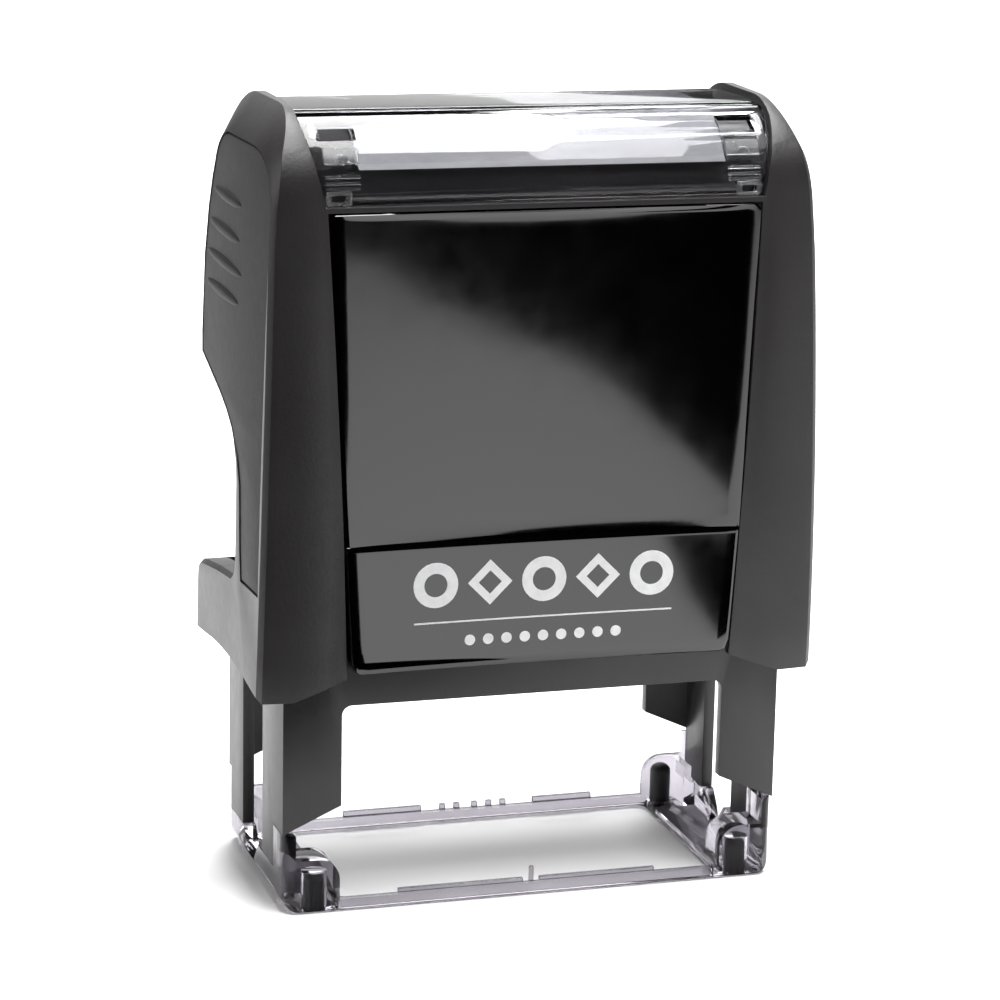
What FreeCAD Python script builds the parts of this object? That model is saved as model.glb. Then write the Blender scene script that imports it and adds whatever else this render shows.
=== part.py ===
"""Self-inking stamp: a spring-loaded cap that slides on a two-legged frame and turns an inked platen over.

The frame is in millimetres: +X to the right, -Y towards the front panel, +Z up, with the origin on the
table under the middle of the stamp. The cap is at the top of its travel.
"""
import FreeCAD, Part
import math
import os
from types import SimpleNamespace
import Sketcher

doc = FreeCAD.newDocument("stamp")
sheet = doc.addObject("Spreadsheet::Sheet", "Sizes")

DRIVING = [
    ("stroke", 20.5, "cap travel from rest to the paper"),
    ("axle_height", 25.6, "platen axle above the table, cap up"),
    ("foot_half_width", 26.0, "foot, half of its width"),
    ("foot_half_depth", 12.4, "foot, half of its depth"),
    ("foot_lift", 0.2, "foot's underside above the table"),
    ("foot_corner", 1.6, "foot's plan corner radius"),
    ("foot_keel", 1.8, "rounding of the foot's lower side edges"),
    ("foot_rim_top", 1.2, "top of the low rim round the window"),
    ("foot_block_top", 5.6, "top of the corner blocks"),
    ("foot_block_round", 2.2, "rounding of the corner blocks towards the window"),
    ("foot_post_top", 8.2, "top of the corner posts"),
    ("window_half_width", 20.2, "stamping window, half width"),
    ("window_half_depth", 11.4, "stamping window, half depth"),
    ("plug_radius", 1.3, "rubber plug in a foot corner"),
    ("plug_top", 3.9, "top of a front rubber plug"),
    ("peg_top", 5.4, "top of a rear rubber plug"),
    ("leg_half_width", 26.0, "outer faces of the legs"),
    ("leg_inner", 20.0, "inner edges of the legs"),
    ("leg_half_depth", 12.0, "front and rear faces of the frame"),
    ("frame_wall", 1.2, "frame's wall"),
    ("leg_tip_outer", 8.3, "leg's slanted end, at its outer edge"),
    ("leg_tip_inner", 11.0, "leg's slanted end, at its inner edge"),
    ("tongue_bottom", 3.8, "lower end of the tongues that key into the foot"),
    ("beam_bottom", 21.3, "top of the gap between the legs"),
    ("shoulder_top", 29.0, "top of the legs"),
    ("bay_half_width", 22.2, "cartridge bay, outer half width"),
    ("bay_floor", 31.2, "rails under the cartridge"),
    ("bay_ceiling", 38.6, "underside of the deck over the cartridge"),
    ("deck_top", 40.2, "spring's lower seat"),
    ("frame_top", 49.2, "top of the bay's walls"),
    ("post_radius", 2.6, "post inside the return spring"),
    ("post_top", 48.6, "top of that post"),
    ("slot_front", -3.2, "front edge of the leg's outer slot"),
    ("slot_rear", 5.5, "rear edge of the leg's outer slot"),
    ("cap_foot_half_width", 29.05, "cap's half width at its lower edge"),
    ("cap_mid_half_width", 28.1, "cap's half width at three quarters of its height"),
    ("cap_mid_height", 60.0, "height of that width"),
    ("cap_side_half_width", 27.35, "cap's half width under the shoulder"),
    ("side_bow", 90.0, "bow of the cap's sides towards the shoulder"),
    ("cap_side_top", 76.2, "top of the cap's side faces"),
    ("cap_crown_half_width", 24.5, "cap's half width at its crown"),
    ("cap_top", 80.2, "top of the cap"),
    ("cap_front_low", -13.4, "cap's front face at its lower edge"),
    ("cap_front_high", -12.95, "cap's front face where it starts to round over"),
    ("cap_front_radius", 330.0, "bow of the cap's front face"),
    ("cap_rear_high", 12.9, "cap's rear face above the waist"),
    ("cap_rear_block", 14.4, "rear face of the block under the waist"),
    ("cap_bottom", 22.5, "cap's lower edge at the front"),
    ("cap_belly", 21.5, "cap's lower edge in the middle of its sides"),
    ("round_start", 71.3, "height where the crown starts to round over"),
    ("crown_radius", 8.9, "rounding of the crown, front and rear"),
    ("waist_top", 52.3, "upper end of the waist at the rear"),
    ("waist_depth", -2.5, "deepest point of the waist"),
    ("waist_bottom", 32.2, "inner end of the shelf under the waist"),
    ("shelf_rear", 29.4, "rear end of the shelf under the waist"),
    ("cavity_half_width", 26.25, "cap's inside, half width"),
    ("cavity_half_depth", 12.6, "cap's inside, half depth over the foot"),
    ("cavity_upper_front", -12.3, "cap's inside front, over the frame"),
    ("cavity_upper_rear", 12.25, "cap's inside rear, over the frame"),
    ("panel_bottom", 25.0, "lower edge of the label plate"),
    ("panel_step", 38.0, "ledge between the label plate and the hollow panel"),
    ("panel_top", 70.5, "upper edge of the front panel"),
    ("label_front", -14.4, "front face of the label plate"),
    ("panel_half_low", 19.7, "label plate's half width at its lower edge"),
    ("panel_half_step", 20.4, "panel's half width at the ledge"),
    ("panel_half_top", 22.0, "panel's half width at its upper edge"),
    ("panel_hollow", 1.25, "depth of the panel's hollow"),
    ("cover_wall", 1.0, "clear cover's wall"),
    ("cover_top", 79.6, "top of the clear cover"),
    ("cover_half_low", 22.3, "cover's half width at its lower edge"),
    ("card_thickness", 0.3, "index card"),
    ("card_bottom", 74.4, "lower edges of the index card"),
    ("bed_wall", 1.2, "cap's bed under the index card"),
    ("grip_floor", 27.0, "floor of the side recess that holds a grip"),
    ("grip_front", -12.9, "front seam of a grip"),
    ("grip_bottom", 33.0, "lower seam of a grip"),
    ("grip_top", 75.6, "upper seam of a grip"),
    ("seam", 0.1, "gap round an inset piece"),
    ("arm_inner", 22.5, "inner faces of the bow's arms"),
    ("arm_outer", 24.2, "outer faces of the bow's arms"),
    ("arm_half_depth", 4.0, "half depth of the bow"),
    ("bow_seat", 70.0, "spring's upper seat"),
    ("bow_top", 72.0, "top of the bow"),
    ("axle_radius", 1.5, "axle pin"),
    ("axle_clearance", 0.05, "radial clearance of the platen on its pins"),
    ("platen_half_length", 19.4, "platen's half length"),
    ("platen_half_depth", 8.0, "platen's half depth"),
    ("platen_back", 2.0, "platen's back under the axle"),
    ("platen_face", 1.7, "platen's face over the axle"),
    ("foam_thickness", 1.0, "foam layer"),
    ("die_base", 1.4, "die's base sheet"),
    ("die_relief", 0.9, "die's raised printing face"),
    ("die_half_length", 19.0, "die's half length"),
    ("die_half_depth", 7.0, "die's half depth"),
    ("pad_gap", 0.15, "gap between the die and the ink pad, cap up"),
    ("pad_half_length", 19.2, "ink pad's half length"),
    ("pad_half_depth", 8.2, "ink pad's half depth"),
    ("pad_thickness", 3.8, "ink pad"),
    ("tray_half_width", 20.9, "cartridge's half width"),
    ("spring_radius", 3.9, "return spring's mean radius"),
    ("spring_wire", 0.45, "return spring's wire radius"),
    ("spring_turns", 7.0, "return spring's turns"),
    ("hub_radius", 2.1, "round hubs at the platen's ends"),
    ("hub_end", 21.6, "outer ends of the platen's hubs"),
    ("hub_root", 16.5, "inner ends of the platen's hubs"),
    ("pin_tip", 18.7, "inner end of an axle pin"),
    ("pin_head", 24.65, "outer end of an axle pin"),
    ("pin_head_radius", 2.1, "head of an axle pin"),
    ("seat_radius", 6.5, "round plate over the return spring"),
    ("rear_open_half", 21.4, "rear opening of the cap, half width"),
    ("rear_open_bottom", 30.5, "rear opening of the cap, lower edge"),
    ("rear_open_top", 59.8, "rear opening of the cap, upper edge"),
    ("rear_panel_half", 20.3, "rear panel, half width"),
    ("rear_panel_bottom", 60.0, "rear panel, lower edge"),
    ("card_half_width", 18.6, "index card, half width"),
    ("loft_half_width", 24.4, "cap's inside, half width, over the bow"),
    ("button_half_width", 3.4, "lock button's half width"),
    ("button_bottom", 24.6, "lower edge of the lock button"),
    ("button_top", 27.6, "upper edge of the lock button"),
    ("button_face", 14.3, "rear face of the lock button, not pressed"),
    ("button_seat", 12.8, "front face of the lock button, not pressed"),
    ("flange_width", 0.5, "flange round the lock button"),
    ("flange_depth", 0.6, "thickness of that flange"),
    ("button_travel", 1.2, "lock button's travel"),
]


class Size:
    """A number together with the sheet expression that gives it."""

    def __init__(self, value, text=None):
        self.value = float(value)
        self.text = text if text else "%.4f" % value

    def __add__(self, other):
        other = as_size(other)
        return Size(self.value + other.value, "(%s + %s)" % (self.text, other.text))

    def __sub__(self, other):
        other = as_size(other)
        return Size(self.value - other.value, "(%s - %s)" % (self.text, other.text))

    def __mul__(self, other):
        other = as_size(other)
        return Size(self.value * other.value, "(%s * %s)" % (self.text, other.text))

    def __truediv__(self, other):
        other = as_size(other)
        return Size(self.value / other.value, "(%s / %s)" % (self.text, other.text))

    def __neg__(self):
        return Size(0) - self

    def __radd__(self, other):
        return as_size(other) + self

    def __rsub__(self, other):
        return as_size(other) - self

    def __rmul__(self, other):
        return self * other


def as_size(number):
    return number if isinstance(number, Size) else Size(number)


def fill_sheet():
    """Write the driving sizes into the sheet and return them by name."""
    sizes = SimpleNamespace()
    for row, (alias, value, meaning) in enumerate(DRIVING, start=1):
        sheet.set("A%d" % row, alias)
        sheet.set("B%d" % row, str(value))
        sheet.set("C%d" % row, meaning)
        sheet.setAlias("B%d" % row, alias)
        setattr(sizes, alias, Size(value, "Sizes.%s" % alias))
    doc.recompute()
    return sizes


d = fill_sheet()


def bind(item, prop, size):
    """Drive a property of an object from the sheet."""
    item.setExpression(prop, as_size(size).text)


# Outlines: a list of corners (u, v). A third number makes the run that leaves the corner an arc of that
# radius, which bulges to the right of the direction of travel, or to the left where it is negative.

def rectangle(u0, u1, v0, v1):
    return [(u0, v0), (u1, v0), (u1, v1), (u0, v1)]


def rounded_rectangle(u0, u1, v0, v1, radius):
    return [(u0 + radius, v0), (u1 - radius, v0, radius), (u1, v0 + radius), (u1, v1 - radius, radius),
            (u1 - radius, v1), (u0 + radius, v1, radius), (u0, v1 - radius), (u0, v0 + radius, radius)]


def circle(u, v, radius):
    return {"centre": (as_size(u), as_size(v)), "radius": as_size(radius)}


def mirrored(outline):
    """The same outline on the other side of u = 0."""
    if isinstance(outline, dict):
        return circle(-outline["centre"][0], outline["centre"][1], outline["radius"])
    corners = []
    for index in range(len(outline) - 1, -1, -1):
        corner = outline[index]
        before = outline[index - 1]
        flipped = (-as_size(corner[0]), corner[1])
        corners.append(flipped + ((before[2],) if len(before) > 2 else ()))
    return corners


def both_sides(*outlines):
    return [shape for outline in outlines for shape in (outline, mirrored(outline))]


def arc_middle(start, end, radius):
    """The middle point of an arc, to the right of the way from start to end for a positive radius."""
    du = end[0] - start[0]
    dv = end[1] - start[1]
    chord = math.hypot(du, dv)
    sagitta = abs(radius) - math.sqrt(max(radius * radius - chord * chord / 4, 0.0))
    side = math.copysign(sagitta / chord, radius)
    return (start[0] + du / 2 + dv * side, start[1] + dv / 2 - du * side)


def draw_circle(sketch, outline):
    centre_u, centre_v = outline["centre"]
    centre = FreeCAD.Vector(centre_u.value, centre_v.value, 0)
    index = sketch.addGeometry(Part.Circle(centre, FreeCAD.Vector(0, 0, 1), outline["radius"].value))
    for kind, size in (("DistanceX", centre_u), ("DistanceY", centre_v)):
        number = sketch.addConstraint(Sketcher.Constraint(kind, index, 3, size.value))
        sketch.setExpression("Constraints[%d]" % number, size.text)
    number = sketch.addConstraint(Sketcher.Constraint("Radius", index, outline["radius"].value))
    sketch.setExpression("Constraints[%d]" % number, outline["radius"].text)


def draw_loop(sketch, outline):
    """Draw a closed outline, with each corner and each arc's radius bound to the sheet."""
    corners = [(as_size(c[0]), as_size(c[1])) for c in outline]
    radii = [as_size(c[2]) if len(c) > 2 else None for c in outline]
    first = sketch.GeometryCount
    total = len(corners)
    for index in range(total):
        start = (corners[index][0].value, corners[index][1].value)
        following = corners[(index + 1) % total]
        end = (following[0].value, following[1].value)
        if radii[index] is None:
            sketch.addGeometry(Part.LineSegment(FreeCAD.Vector(*start, 0), FreeCAD.Vector(*end, 0)))
        else:
            middle = arc_middle(start, end, radii[index].value)
            points = [FreeCAD.Vector(*p, 0) for p in (start, middle, end)]
            sketch.addGeometry(Part.Arc(*points))
    for index in range(total):
        geometry = first + index
        near, far = ends_of(sketch, geometry, corners[index])
        following = first + (index + 1) % total
        next_near = ends_of(sketch, following, corners[(index + 1) % total])[0]
        sketch.addConstraint(Sketcher.Constraint("Coincident", geometry, far, following, next_near))
        for kind, size in zip(("DistanceX", "DistanceY"), corners[index]):
            number = sketch.addConstraint(Sketcher.Constraint(kind, geometry, near, size.value))
            sketch.setExpression("Constraints[%d]" % number, size.text)
        if radii[index] is not None:
            radius = abs(radii[index].value)
            number = sketch.addConstraint(Sketcher.Constraint("Radius", geometry, radius))
            sketch.setExpression("Constraints[%d]" % number, "abs(%s)" % radii[index].text)


def ends_of(sketch, geometry, corner):
    """Which end of an edge (1 or 2) lies on its first corner, and which is the other one."""
    start = sketch.getPoint(geometry, 1)
    near = math.hypot(start.x - corner[0].value, start.y - corner[1].value) < 1e-4
    return (1, 2) if near else (2, 1)


ROLES = {"XY": ("XY_Plane", 1), "XZ": ("XZ_Plane", -1), "YZ": ("YZ_Plane", 1)}


def add_sketch(body, name, plane, outlines, offset):
    role, direction = ROLES[plane]
    support = [f for f in body.Origin.OriginFeatures if f.Role == role][0]
    sketch = body.newObject("Sketcher::SketchObject", name)
    sketch.AttachmentSupport = [(support, "")]
    sketch.MapMode = "FlatFace"
    bind(sketch, "AttachmentOffset.Base.z", offset * direction)
    for outline in outlines:
        if isinstance(outline, dict):
            draw_circle(sketch, outline)
        else:
            draw_loop(sketch, outline)
    return sketch


def extrude(kind, body, name, plane, outlines, span):
    """A pad or pocket of the outlines between two places along the plane's axis."""
    low, high = (as_size(end) for end in span)
    start = low if ROLES[plane][1] > 0 else high
    if isinstance(outlines, dict) or not isinstance(outlines[0], (list, dict)):
        outlines = [outlines]
    sketch = add_sketch(body, name + "_outline", plane, outlines, start)
    feature = body.newObject("PartDesign::" + kind, name)
    feature.Profile = sketch
    feature.Reversed = kind == "Pocket"
    bind(feature, "Length", high - low)
    return feature


def pad(body, name, plane, outlines, span):
    return extrude("Pad", body, name, plane, outlines, span)


def pocket(body, name, plane, outlines, span):
    return extrude("Pocket", body, name, plane, outlines, span)


def new_body(label):
    body = doc.addObject("PartDesign::Body", label)
    body.Label = label
    return body


def revolve_about_x(body, name, outline):
    """A solid of revolution about the platen's axle; the outline is in the XZ plane."""
    sketch = add_sketch(body, name + "_outline", "XZ", [outline], Size(0))
    feature = body.newObject("PartDesign::Revolution", name)
    feature.Profile = sketch
    feature.ReferenceAxis = (sketch, ["H_Axis"])
    feature.Angle = 360
    return feature


# Outlines that more than one piece shares.

def crown_arcs(inset):
    """The crown from its front spring line over the top to its rear one, moved in by inset."""
    front_centre = d.cap_front_high + d.crown_radius
    rear_centre = d.cap_rear_high - d.crown_radius
    radius = d.crown_radius - inset
    top = d.round_start + radius
    return [(rear_centre + radius, d.round_start, radius), (rear_centre, top),
            (front_centre, top, radius), (front_centre - radius, d.round_start)]


def crown_shell(outer_inset, inner_inset, lower_edge):
    """A closed band that follows the crown, between two insets, down to lower_edge."""
    outer = crown_arcs(outer_inset)
    inner = crown_arcs(inner_inset)
    back = [(inner[3][0], inner[3][1], -(d.crown_radius - inner_inset)), (inner[2][0], inner[2][1]),
            (inner[1][0], inner[1][1], -(d.crown_radius - inner_inset)), (inner[0][0], inner[0][1])]
    return ([(outer[0][0], lower_edge)] + outer + [(outer[3][0], lower_edge), (back[0][0], lower_edge)]
            + back + [(back[3][0], lower_edge)])


def side_taper(inset):
    """What lies outside the cap's tapered sides and shoulders, right side; inset moves it inwards."""
    far = d.cap_foot_half_width + 3
    return [(d.cap_foot_half_width - inset, d.cap_belly - 1), (far, d.cap_belly - 1), (far, d.cap_top + 2),
            (d.cap_crown_half_width - 2 - inset, d.cap_top + 2), (d.cap_crown_half_width - inset, d.cap_top),
            (d.cap_side_half_width - inset, d.cap_side_top, -d.side_bow),
            (d.cap_mid_half_width - inset, d.cap_mid_height)]


def grip_outline(gap):
    """The soft side grip seen along X, which follows the waist and the rear edge; gap shrinks it."""
    front = d.grip_front + gap
    bottom = d.grip_bottom + gap
    top = d.grip_top - gap
    neck = d.waist_depth - 2.1 - gap
    waist = [(neck - 0.6, bottom), (neck, d.grip_bottom + 3), (neck + 0.4, d.waist_top - 9.9),
             (d.waist_depth - 0.7 - gap, d.waist_top - 7.3), (d.waist_depth + 1.3 - gap, d.waist_top - 5.0),
             (d.waist_depth + 4.2 - gap, d.waist_top - 3.1 + gap), (7.0 - gap, d.waist_top - 1.3 + gap)]
    edge = d.cap_rear_high - gap
    rear = [(edge - 1.6, d.waist_top + 0.6 + gap), (edge - 1.4, d.waist_top + 2.4), (edge - 2.0, 63.0),
            (edge - 2.9, 67.5), (edge - 4.2, d.round_start + 0.9), (5.6 - gap, top - 0.2)]
    crown = [(4.2 - gap, top), (-7.7 + gap, top), (-11.9 + gap, d.round_start + 1.4 - gap),
             (front, d.round_start - gap)]
    return [(front, bottom)] + waist + rear + crown


def panel_outline(gap, low):
    """The front panel, seen along Y, from its lower edge at low; gap grows it all round."""
    half_low = d.panel_half_low + gap
    half_step = d.panel_half_step + gap
    half_top = d.panel_half_top + gap
    top = d.panel_top + gap
    return [(-half_low + 1.2, low), (half_low - 1.2, low, Size(1.2)), (half_low, low + 1.2),
            (half_step, d.panel_step), (half_top, top), (-half_top, top), (-half_step, d.panel_step),
            (-half_low, low + 1.2, Size(1.2))]


# The root body: foot, rubber plugs and inner frame.

PLUG_PLACES = {
    "foot_plug_front_left": (-22.5, -10.4),
    "foot_plug_front_right": (22.5, -10.4),
    "foot_plug_rear_left": (-21.6, 9.9),
    "foot_plug_rear_right": (21.6, 9.9),
}


def make_foot():
    body = new_body("foot")
    width = d.foot_half_width
    depth = d.foot_half_depth
    wall = d.leg_half_width - d.frame_wall - 0.1
    above = d.foot_post_top + 1
    outer = rounded_rectangle(-width, width, -depth, depth, d.foot_corner)
    pad(body, "foot_block", "XY", outer, (d.foot_lift, d.foot_post_top))
    middle = rectangle(-d.window_half_width, d.window_half_width, -depth - 1, depth + 1)
    pocket(body, "foot_middle", "XY", middle, (d.foot_rim_top, above))
    window = rounded_rectangle(-d.window_half_width, d.window_half_width, -d.window_half_depth,
                               d.window_half_depth, Size(1.0))
    pocket(body, "foot_window", "XY", window, (d.foot_lift - 1, d.foot_rim_top + 1))
    inner_edge = d.window_half_width - 0.5
    pocket(body, "foot_above_blocks", "XY", both_sides(rectangle(inner_edge, wall, -depth - 1, depth + 1)),
           (d.foot_block_top, above))
    pocket(body, "foot_leg_wells", "XY", both_sides(rectangle(inner_edge, wall, Size(-8.4), Size(7.2))),
           (d.foot_rim_top, above))
    rear_well = rectangle(inner_edge, Size(23.4), Size(7.0), Size(11.3))
    pocket(body, "foot_rear_wells", "XY", both_sides(rear_well), (d.foot_rim_top, above))
    side_notch = [(-8.05, d.tongue_bottom - 0.05), (-1.4, d.tongue_bottom - 0.05), (0.6, 1.6), (1.4, 1.0),
                  (2.6, 1.0), (3.4, 1.6), (5.0, d.tongue_bottom - 0.05), (11.1, d.tongue_bottom - 0.05),
                  (11.1, above), (-8.05, above)]
    pocket(body, "foot_notch_right", "YZ", side_notch, (wall - 0.5, width + 1))
    pocket(body, "foot_notch_left", "YZ", side_notch, (-width - 1, 0.5 - wall))
    pocket(body, "foot_round_blocks", "XZ", both_sides(block_corner()), (-depth - 1, depth + 1))
    pocket(body, "foot_round_sides", "XZ", both_sides(keel_corner()), (-depth - 1, depth + 1))
    holes = [circle(x, y, d.plug_radius) for x, y in PLUG_PLACES.values() if y < 0]
    pocket(body, "foot_plug_bores", "XY", holes, (d.foot_lift - 1, d.plug_top + 0.05))
    pegs = [circle(x, y, d.plug_radius - 0.2) for x, y in PLUG_PLACES.values() if y > 0]
    pocket(body, "foot_peg_bores", "XY", pegs, (d.foot_lift - 1, d.foot_rim_top + 1))
    front_marks = [rectangle(Size(-14.0), Size(-0.9), -depth + 0.3, -depth + 0.8),
                   rectangle(Size(0.9), Size(13.2), -depth + 0.3, -depth + 0.8)]
    pad(body, "foot_front_ledges", "XY", front_marks, (d.foot_rim_top - 0.2, d.foot_rim_top + 0.55))
    rear_marks = [rectangle(Size(-13.6), Size(-5.0), depth - 0.9, depth - 0.4),
                  rectangle(Size(7.6), Size(14.2), depth - 0.9, depth - 0.4)]
    rear_marks += [rectangle(Size(x - 0.3), Size(x + 0.3), depth - 0.9, depth - 0.4)
                   for x in (-2.6, -1.0, 1.0, 2.6, 4.2)]
    pad(body, "foot_rear_ledges", "XY", rear_marks, (d.foot_rim_top - 0.2, d.foot_rim_top + 0.8))
    pad(body, "foot_centre_pin", "XY", circle(0, -depth + 0.5, 0.25), (d.foot_rim_top - 0.2, Size(2.9)))
    return body


def block_corner():
    """What rounds off a corner block towards the window, seen along Y."""
    inner = d.window_half_width
    top = d.foot_block_top
    radius = d.foot_block_round
    return [(inner - 1, top + 1), (inner - 1, top - radius), (inner, top - radius, -radius),
            (inner + radius, top), (inner + radius, top + 1)]


def keel_corner():
    """What rounds off the foot's lower side edge, seen along Y."""
    outer = d.foot_half_width
    bottom = d.foot_lift
    radius = d.foot_keel
    return [(outer - radius, bottom - 1), (outer + 1, bottom - 1), (outer + 1, bottom + radius),
            (outer, bottom + radius, -radius), (outer - radius, bottom)]


def make_plug(label, place):
    """A rubber plug with a domed top that stands through the foot onto the table."""
    front = place[1] < 0
    radius = d.plug_radius if front else d.plug_radius - 0.2
    top = d.plug_top if front else d.peg_top
    body = new_body(label)
    outline = [(Size(0), Size(0)), (radius, Size(0)), (radius, top - 0.8), (radius - 0.5, top - 0.15),
               (Size(0), top)]
    sketch = add_sketch(body, label + "_outline", "XZ", [outline], Size(0))
    turned = body.newObject("PartDesign::Revolution", label + "_turned")
    turned.Profile = sketch
    turned.ReferenceAxis = (sketch, ["V_Axis"])
    turned.Angle = 360
    body.Placement.Base = FreeCAD.Vector(place[0], place[1], 0)
    return body


def make_inner_frame():
    body = new_body("inner_frame")
    width = d.leg_half_width
    depth = d.leg_half_depth
    inner_width = width - d.frame_wall
    inner_depth = depth - d.frame_wall
    rail = d.window_half_width
    bay_inner = d.bay_half_width - 1.1
    gantry = [(-width, d.leg_tip_outer), (-d.leg_inner, d.leg_tip_inner),
              (-d.leg_inner, d.beam_bottom - 1, Size(-1)), (-d.leg_inner + 1, d.beam_bottom),
              (d.leg_inner - 1, d.beam_bottom, Size(-1)), (d.leg_inner, d.beam_bottom - 1),
              (d.leg_inner, d.leg_tip_inner), (width, d.leg_tip_outer), (width, d.shoulder_top),
              (-width, d.shoulder_top)]
    pad(body, "frame_gantry", "XZ", gantry, (-depth, depth))
    bay = rectangle(-d.bay_half_width, d.bay_half_width, d.shoulder_top - 0.5, d.frame_top)
    pad(body, "frame_bay", "XZ", bay, (-depth, depth))
    pocket(body, "frame_channels", "XY", rectangle(-inner_width, inner_width, -inner_depth, inner_depth),
           (Size(5), d.shoulder_top - d.frame_wall))
    pocket(body, "frame_throat", "XY", rectangle(-rail, rail, -inner_depth, inner_depth),
           (d.beam_bottom, d.bay_ceiling))
    pocket(body, "frame_drawer", "XY", rectangle(-bay_inner, bay_inner, -inner_depth, depth + 1),
           (d.bay_floor, d.bay_ceiling))
    pocket(body, "frame_well", "XY", rectangle(-bay_inner, bay_inner, -inner_depth, inner_depth),
           (d.deck_top, d.frame_top + 1))
    tongues = [rectangle(Size(-8.0), d.slot_front, d.tongue_bottom, d.leg_tip_outer + 3),
               rectangle(d.slot_rear, Size(11.0), d.tongue_bottom, d.leg_tip_outer + 3)]
    pad(body, "frame_tongues_right", "YZ", tongues, (inner_width, width))
    pad(body, "frame_tongues_left", "YZ", tongues, (-width, -inner_width))
    slot = rectangle(d.slot_front, d.slot_rear, Size(5), d.shoulder_top - d.frame_wall)
    pocket(body, "frame_slot_right", "YZ", slot, (inner_width - 1, width + 1))
    pocket(body, "frame_slot_left", "YZ", slot, (-width - 1, 1 - inner_width))
    reach = d.arm_half_depth + 0.2
    arm_slot = rectangle(d.arm_inner - 0.2, d.arm_outer + 0.2, -reach, reach)
    pocket(body, "frame_arm_slots", "XY", both_sides(arm_slot), (d.beam_bottom, d.shoulder_top + 1))
    latch_half = d.button_half_width + 1
    latch = rectangle(-latch_half, latch_half, d.beam_bottom - 1, d.shoulder_top - 0.6)
    pocket(body, "frame_latch_notch", "XZ", latch, (inner_depth - 0.5, depth + 1))
    pad_room = d.pad_half_length + 0.1
    passage = rectangle(-pad_room, pad_room, pad_face() - 0.1, d.bay_floor + 0.5)
    pocket(body, "frame_pad_passage", "XZ", passage, (inner_depth - 0.5, depth + 1))
    pad(body, "frame_spring_post", "XY", circle(0, 0, d.post_radius), (d.deck_top - 0.5, d.post_top))
    return body


# The ink cartridge, which slides out to the rear.

def make_cartridge_tray():
    body = new_body("cartridge_tray")
    half = d.tray_half_width
    bottom = d.bay_floor + 0.1
    top = d.bay_ceiling - 0.3
    rear = d.leg_half_depth
    pad(body, "tray_block", "XY", rounded_rectangle(-half, half, Size(-10.5), rear, Size(0.8)), (bottom, top))
    pad_well = rounded_rectangle(-d.pad_half_length, d.pad_half_length, -d.pad_half_depth, d.pad_half_depth,
                                 Size(0.6))
    pocket(body, "tray_pad_well", "XY", pad_well, (bottom - 1, pad_face() + d.pad_thickness))
    grip = rounded_rectangle(Size(-9), Size(9), bottom + 1.6, top - 1.4, Size(1.0))
    pocket(body, "tray_finger_grip", "XZ", grip, (rear - 1.6, rear + 1))
    ribs = [rectangle(Size(x - 0.4), Size(x + 0.4), bottom + 1.2, top - 1.0) for x in (-6, -3, 0, 3, 6)]
    pad(body, "tray_grip_ribs", "XZ", ribs, (rear - 1.8, rear - 0.5))
    return body


def pad_face():
    """The ink pad's lower face, a little over the die's printing face."""
    return d.axle_height + d.platen_face + d.foam_thickness + d.die_base + d.die_relief + d.pad_gap


def make_ink_pad():
    body = new_body("ink_pad")
    outline = rounded_rectangle(-d.pad_half_length, d.pad_half_length, -d.pad_half_depth, d.pad_half_depth,
                                Size(0.6))
    pad(body, "ink_pad_block", "XY", outline, (pad_face(), pad_face() + d.pad_thickness))
    return body


# The cap and what rides in it.

def cap_profile():
    """The cap seen along X: its lower edge, up the rear past the waist, over the crown and down the front."""
    rear = d.cap_rear_block
    waist = d.waist_depth
    crown = crown_arcs(Size(0))
    block = [(d.cap_front_low, d.cap_bottom), (Size(0), d.cap_belly), (rear, d.cap_bottom + 0.4),
             (rear, d.shelf_rear - 1.6, Size(1.8)), (rear - 1.6, d.shelf_rear)]
    hollow = [(waist + 1.6, d.waist_bottom, Size(-2.4)), (waist, d.waist_bottom + 2.2),
              (waist, d.waist_bottom + 11.3, Size(-8.0)), (waist + 5.5, d.waist_top - 3.3),
              (d.cap_rear_high - 0.3, d.waist_top), (d.cap_rear_high, d.waist_top + 1.5)]
    return block + hollow + crown[:-1] + [crown[-1] + (d.cap_front_radius,)]


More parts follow.
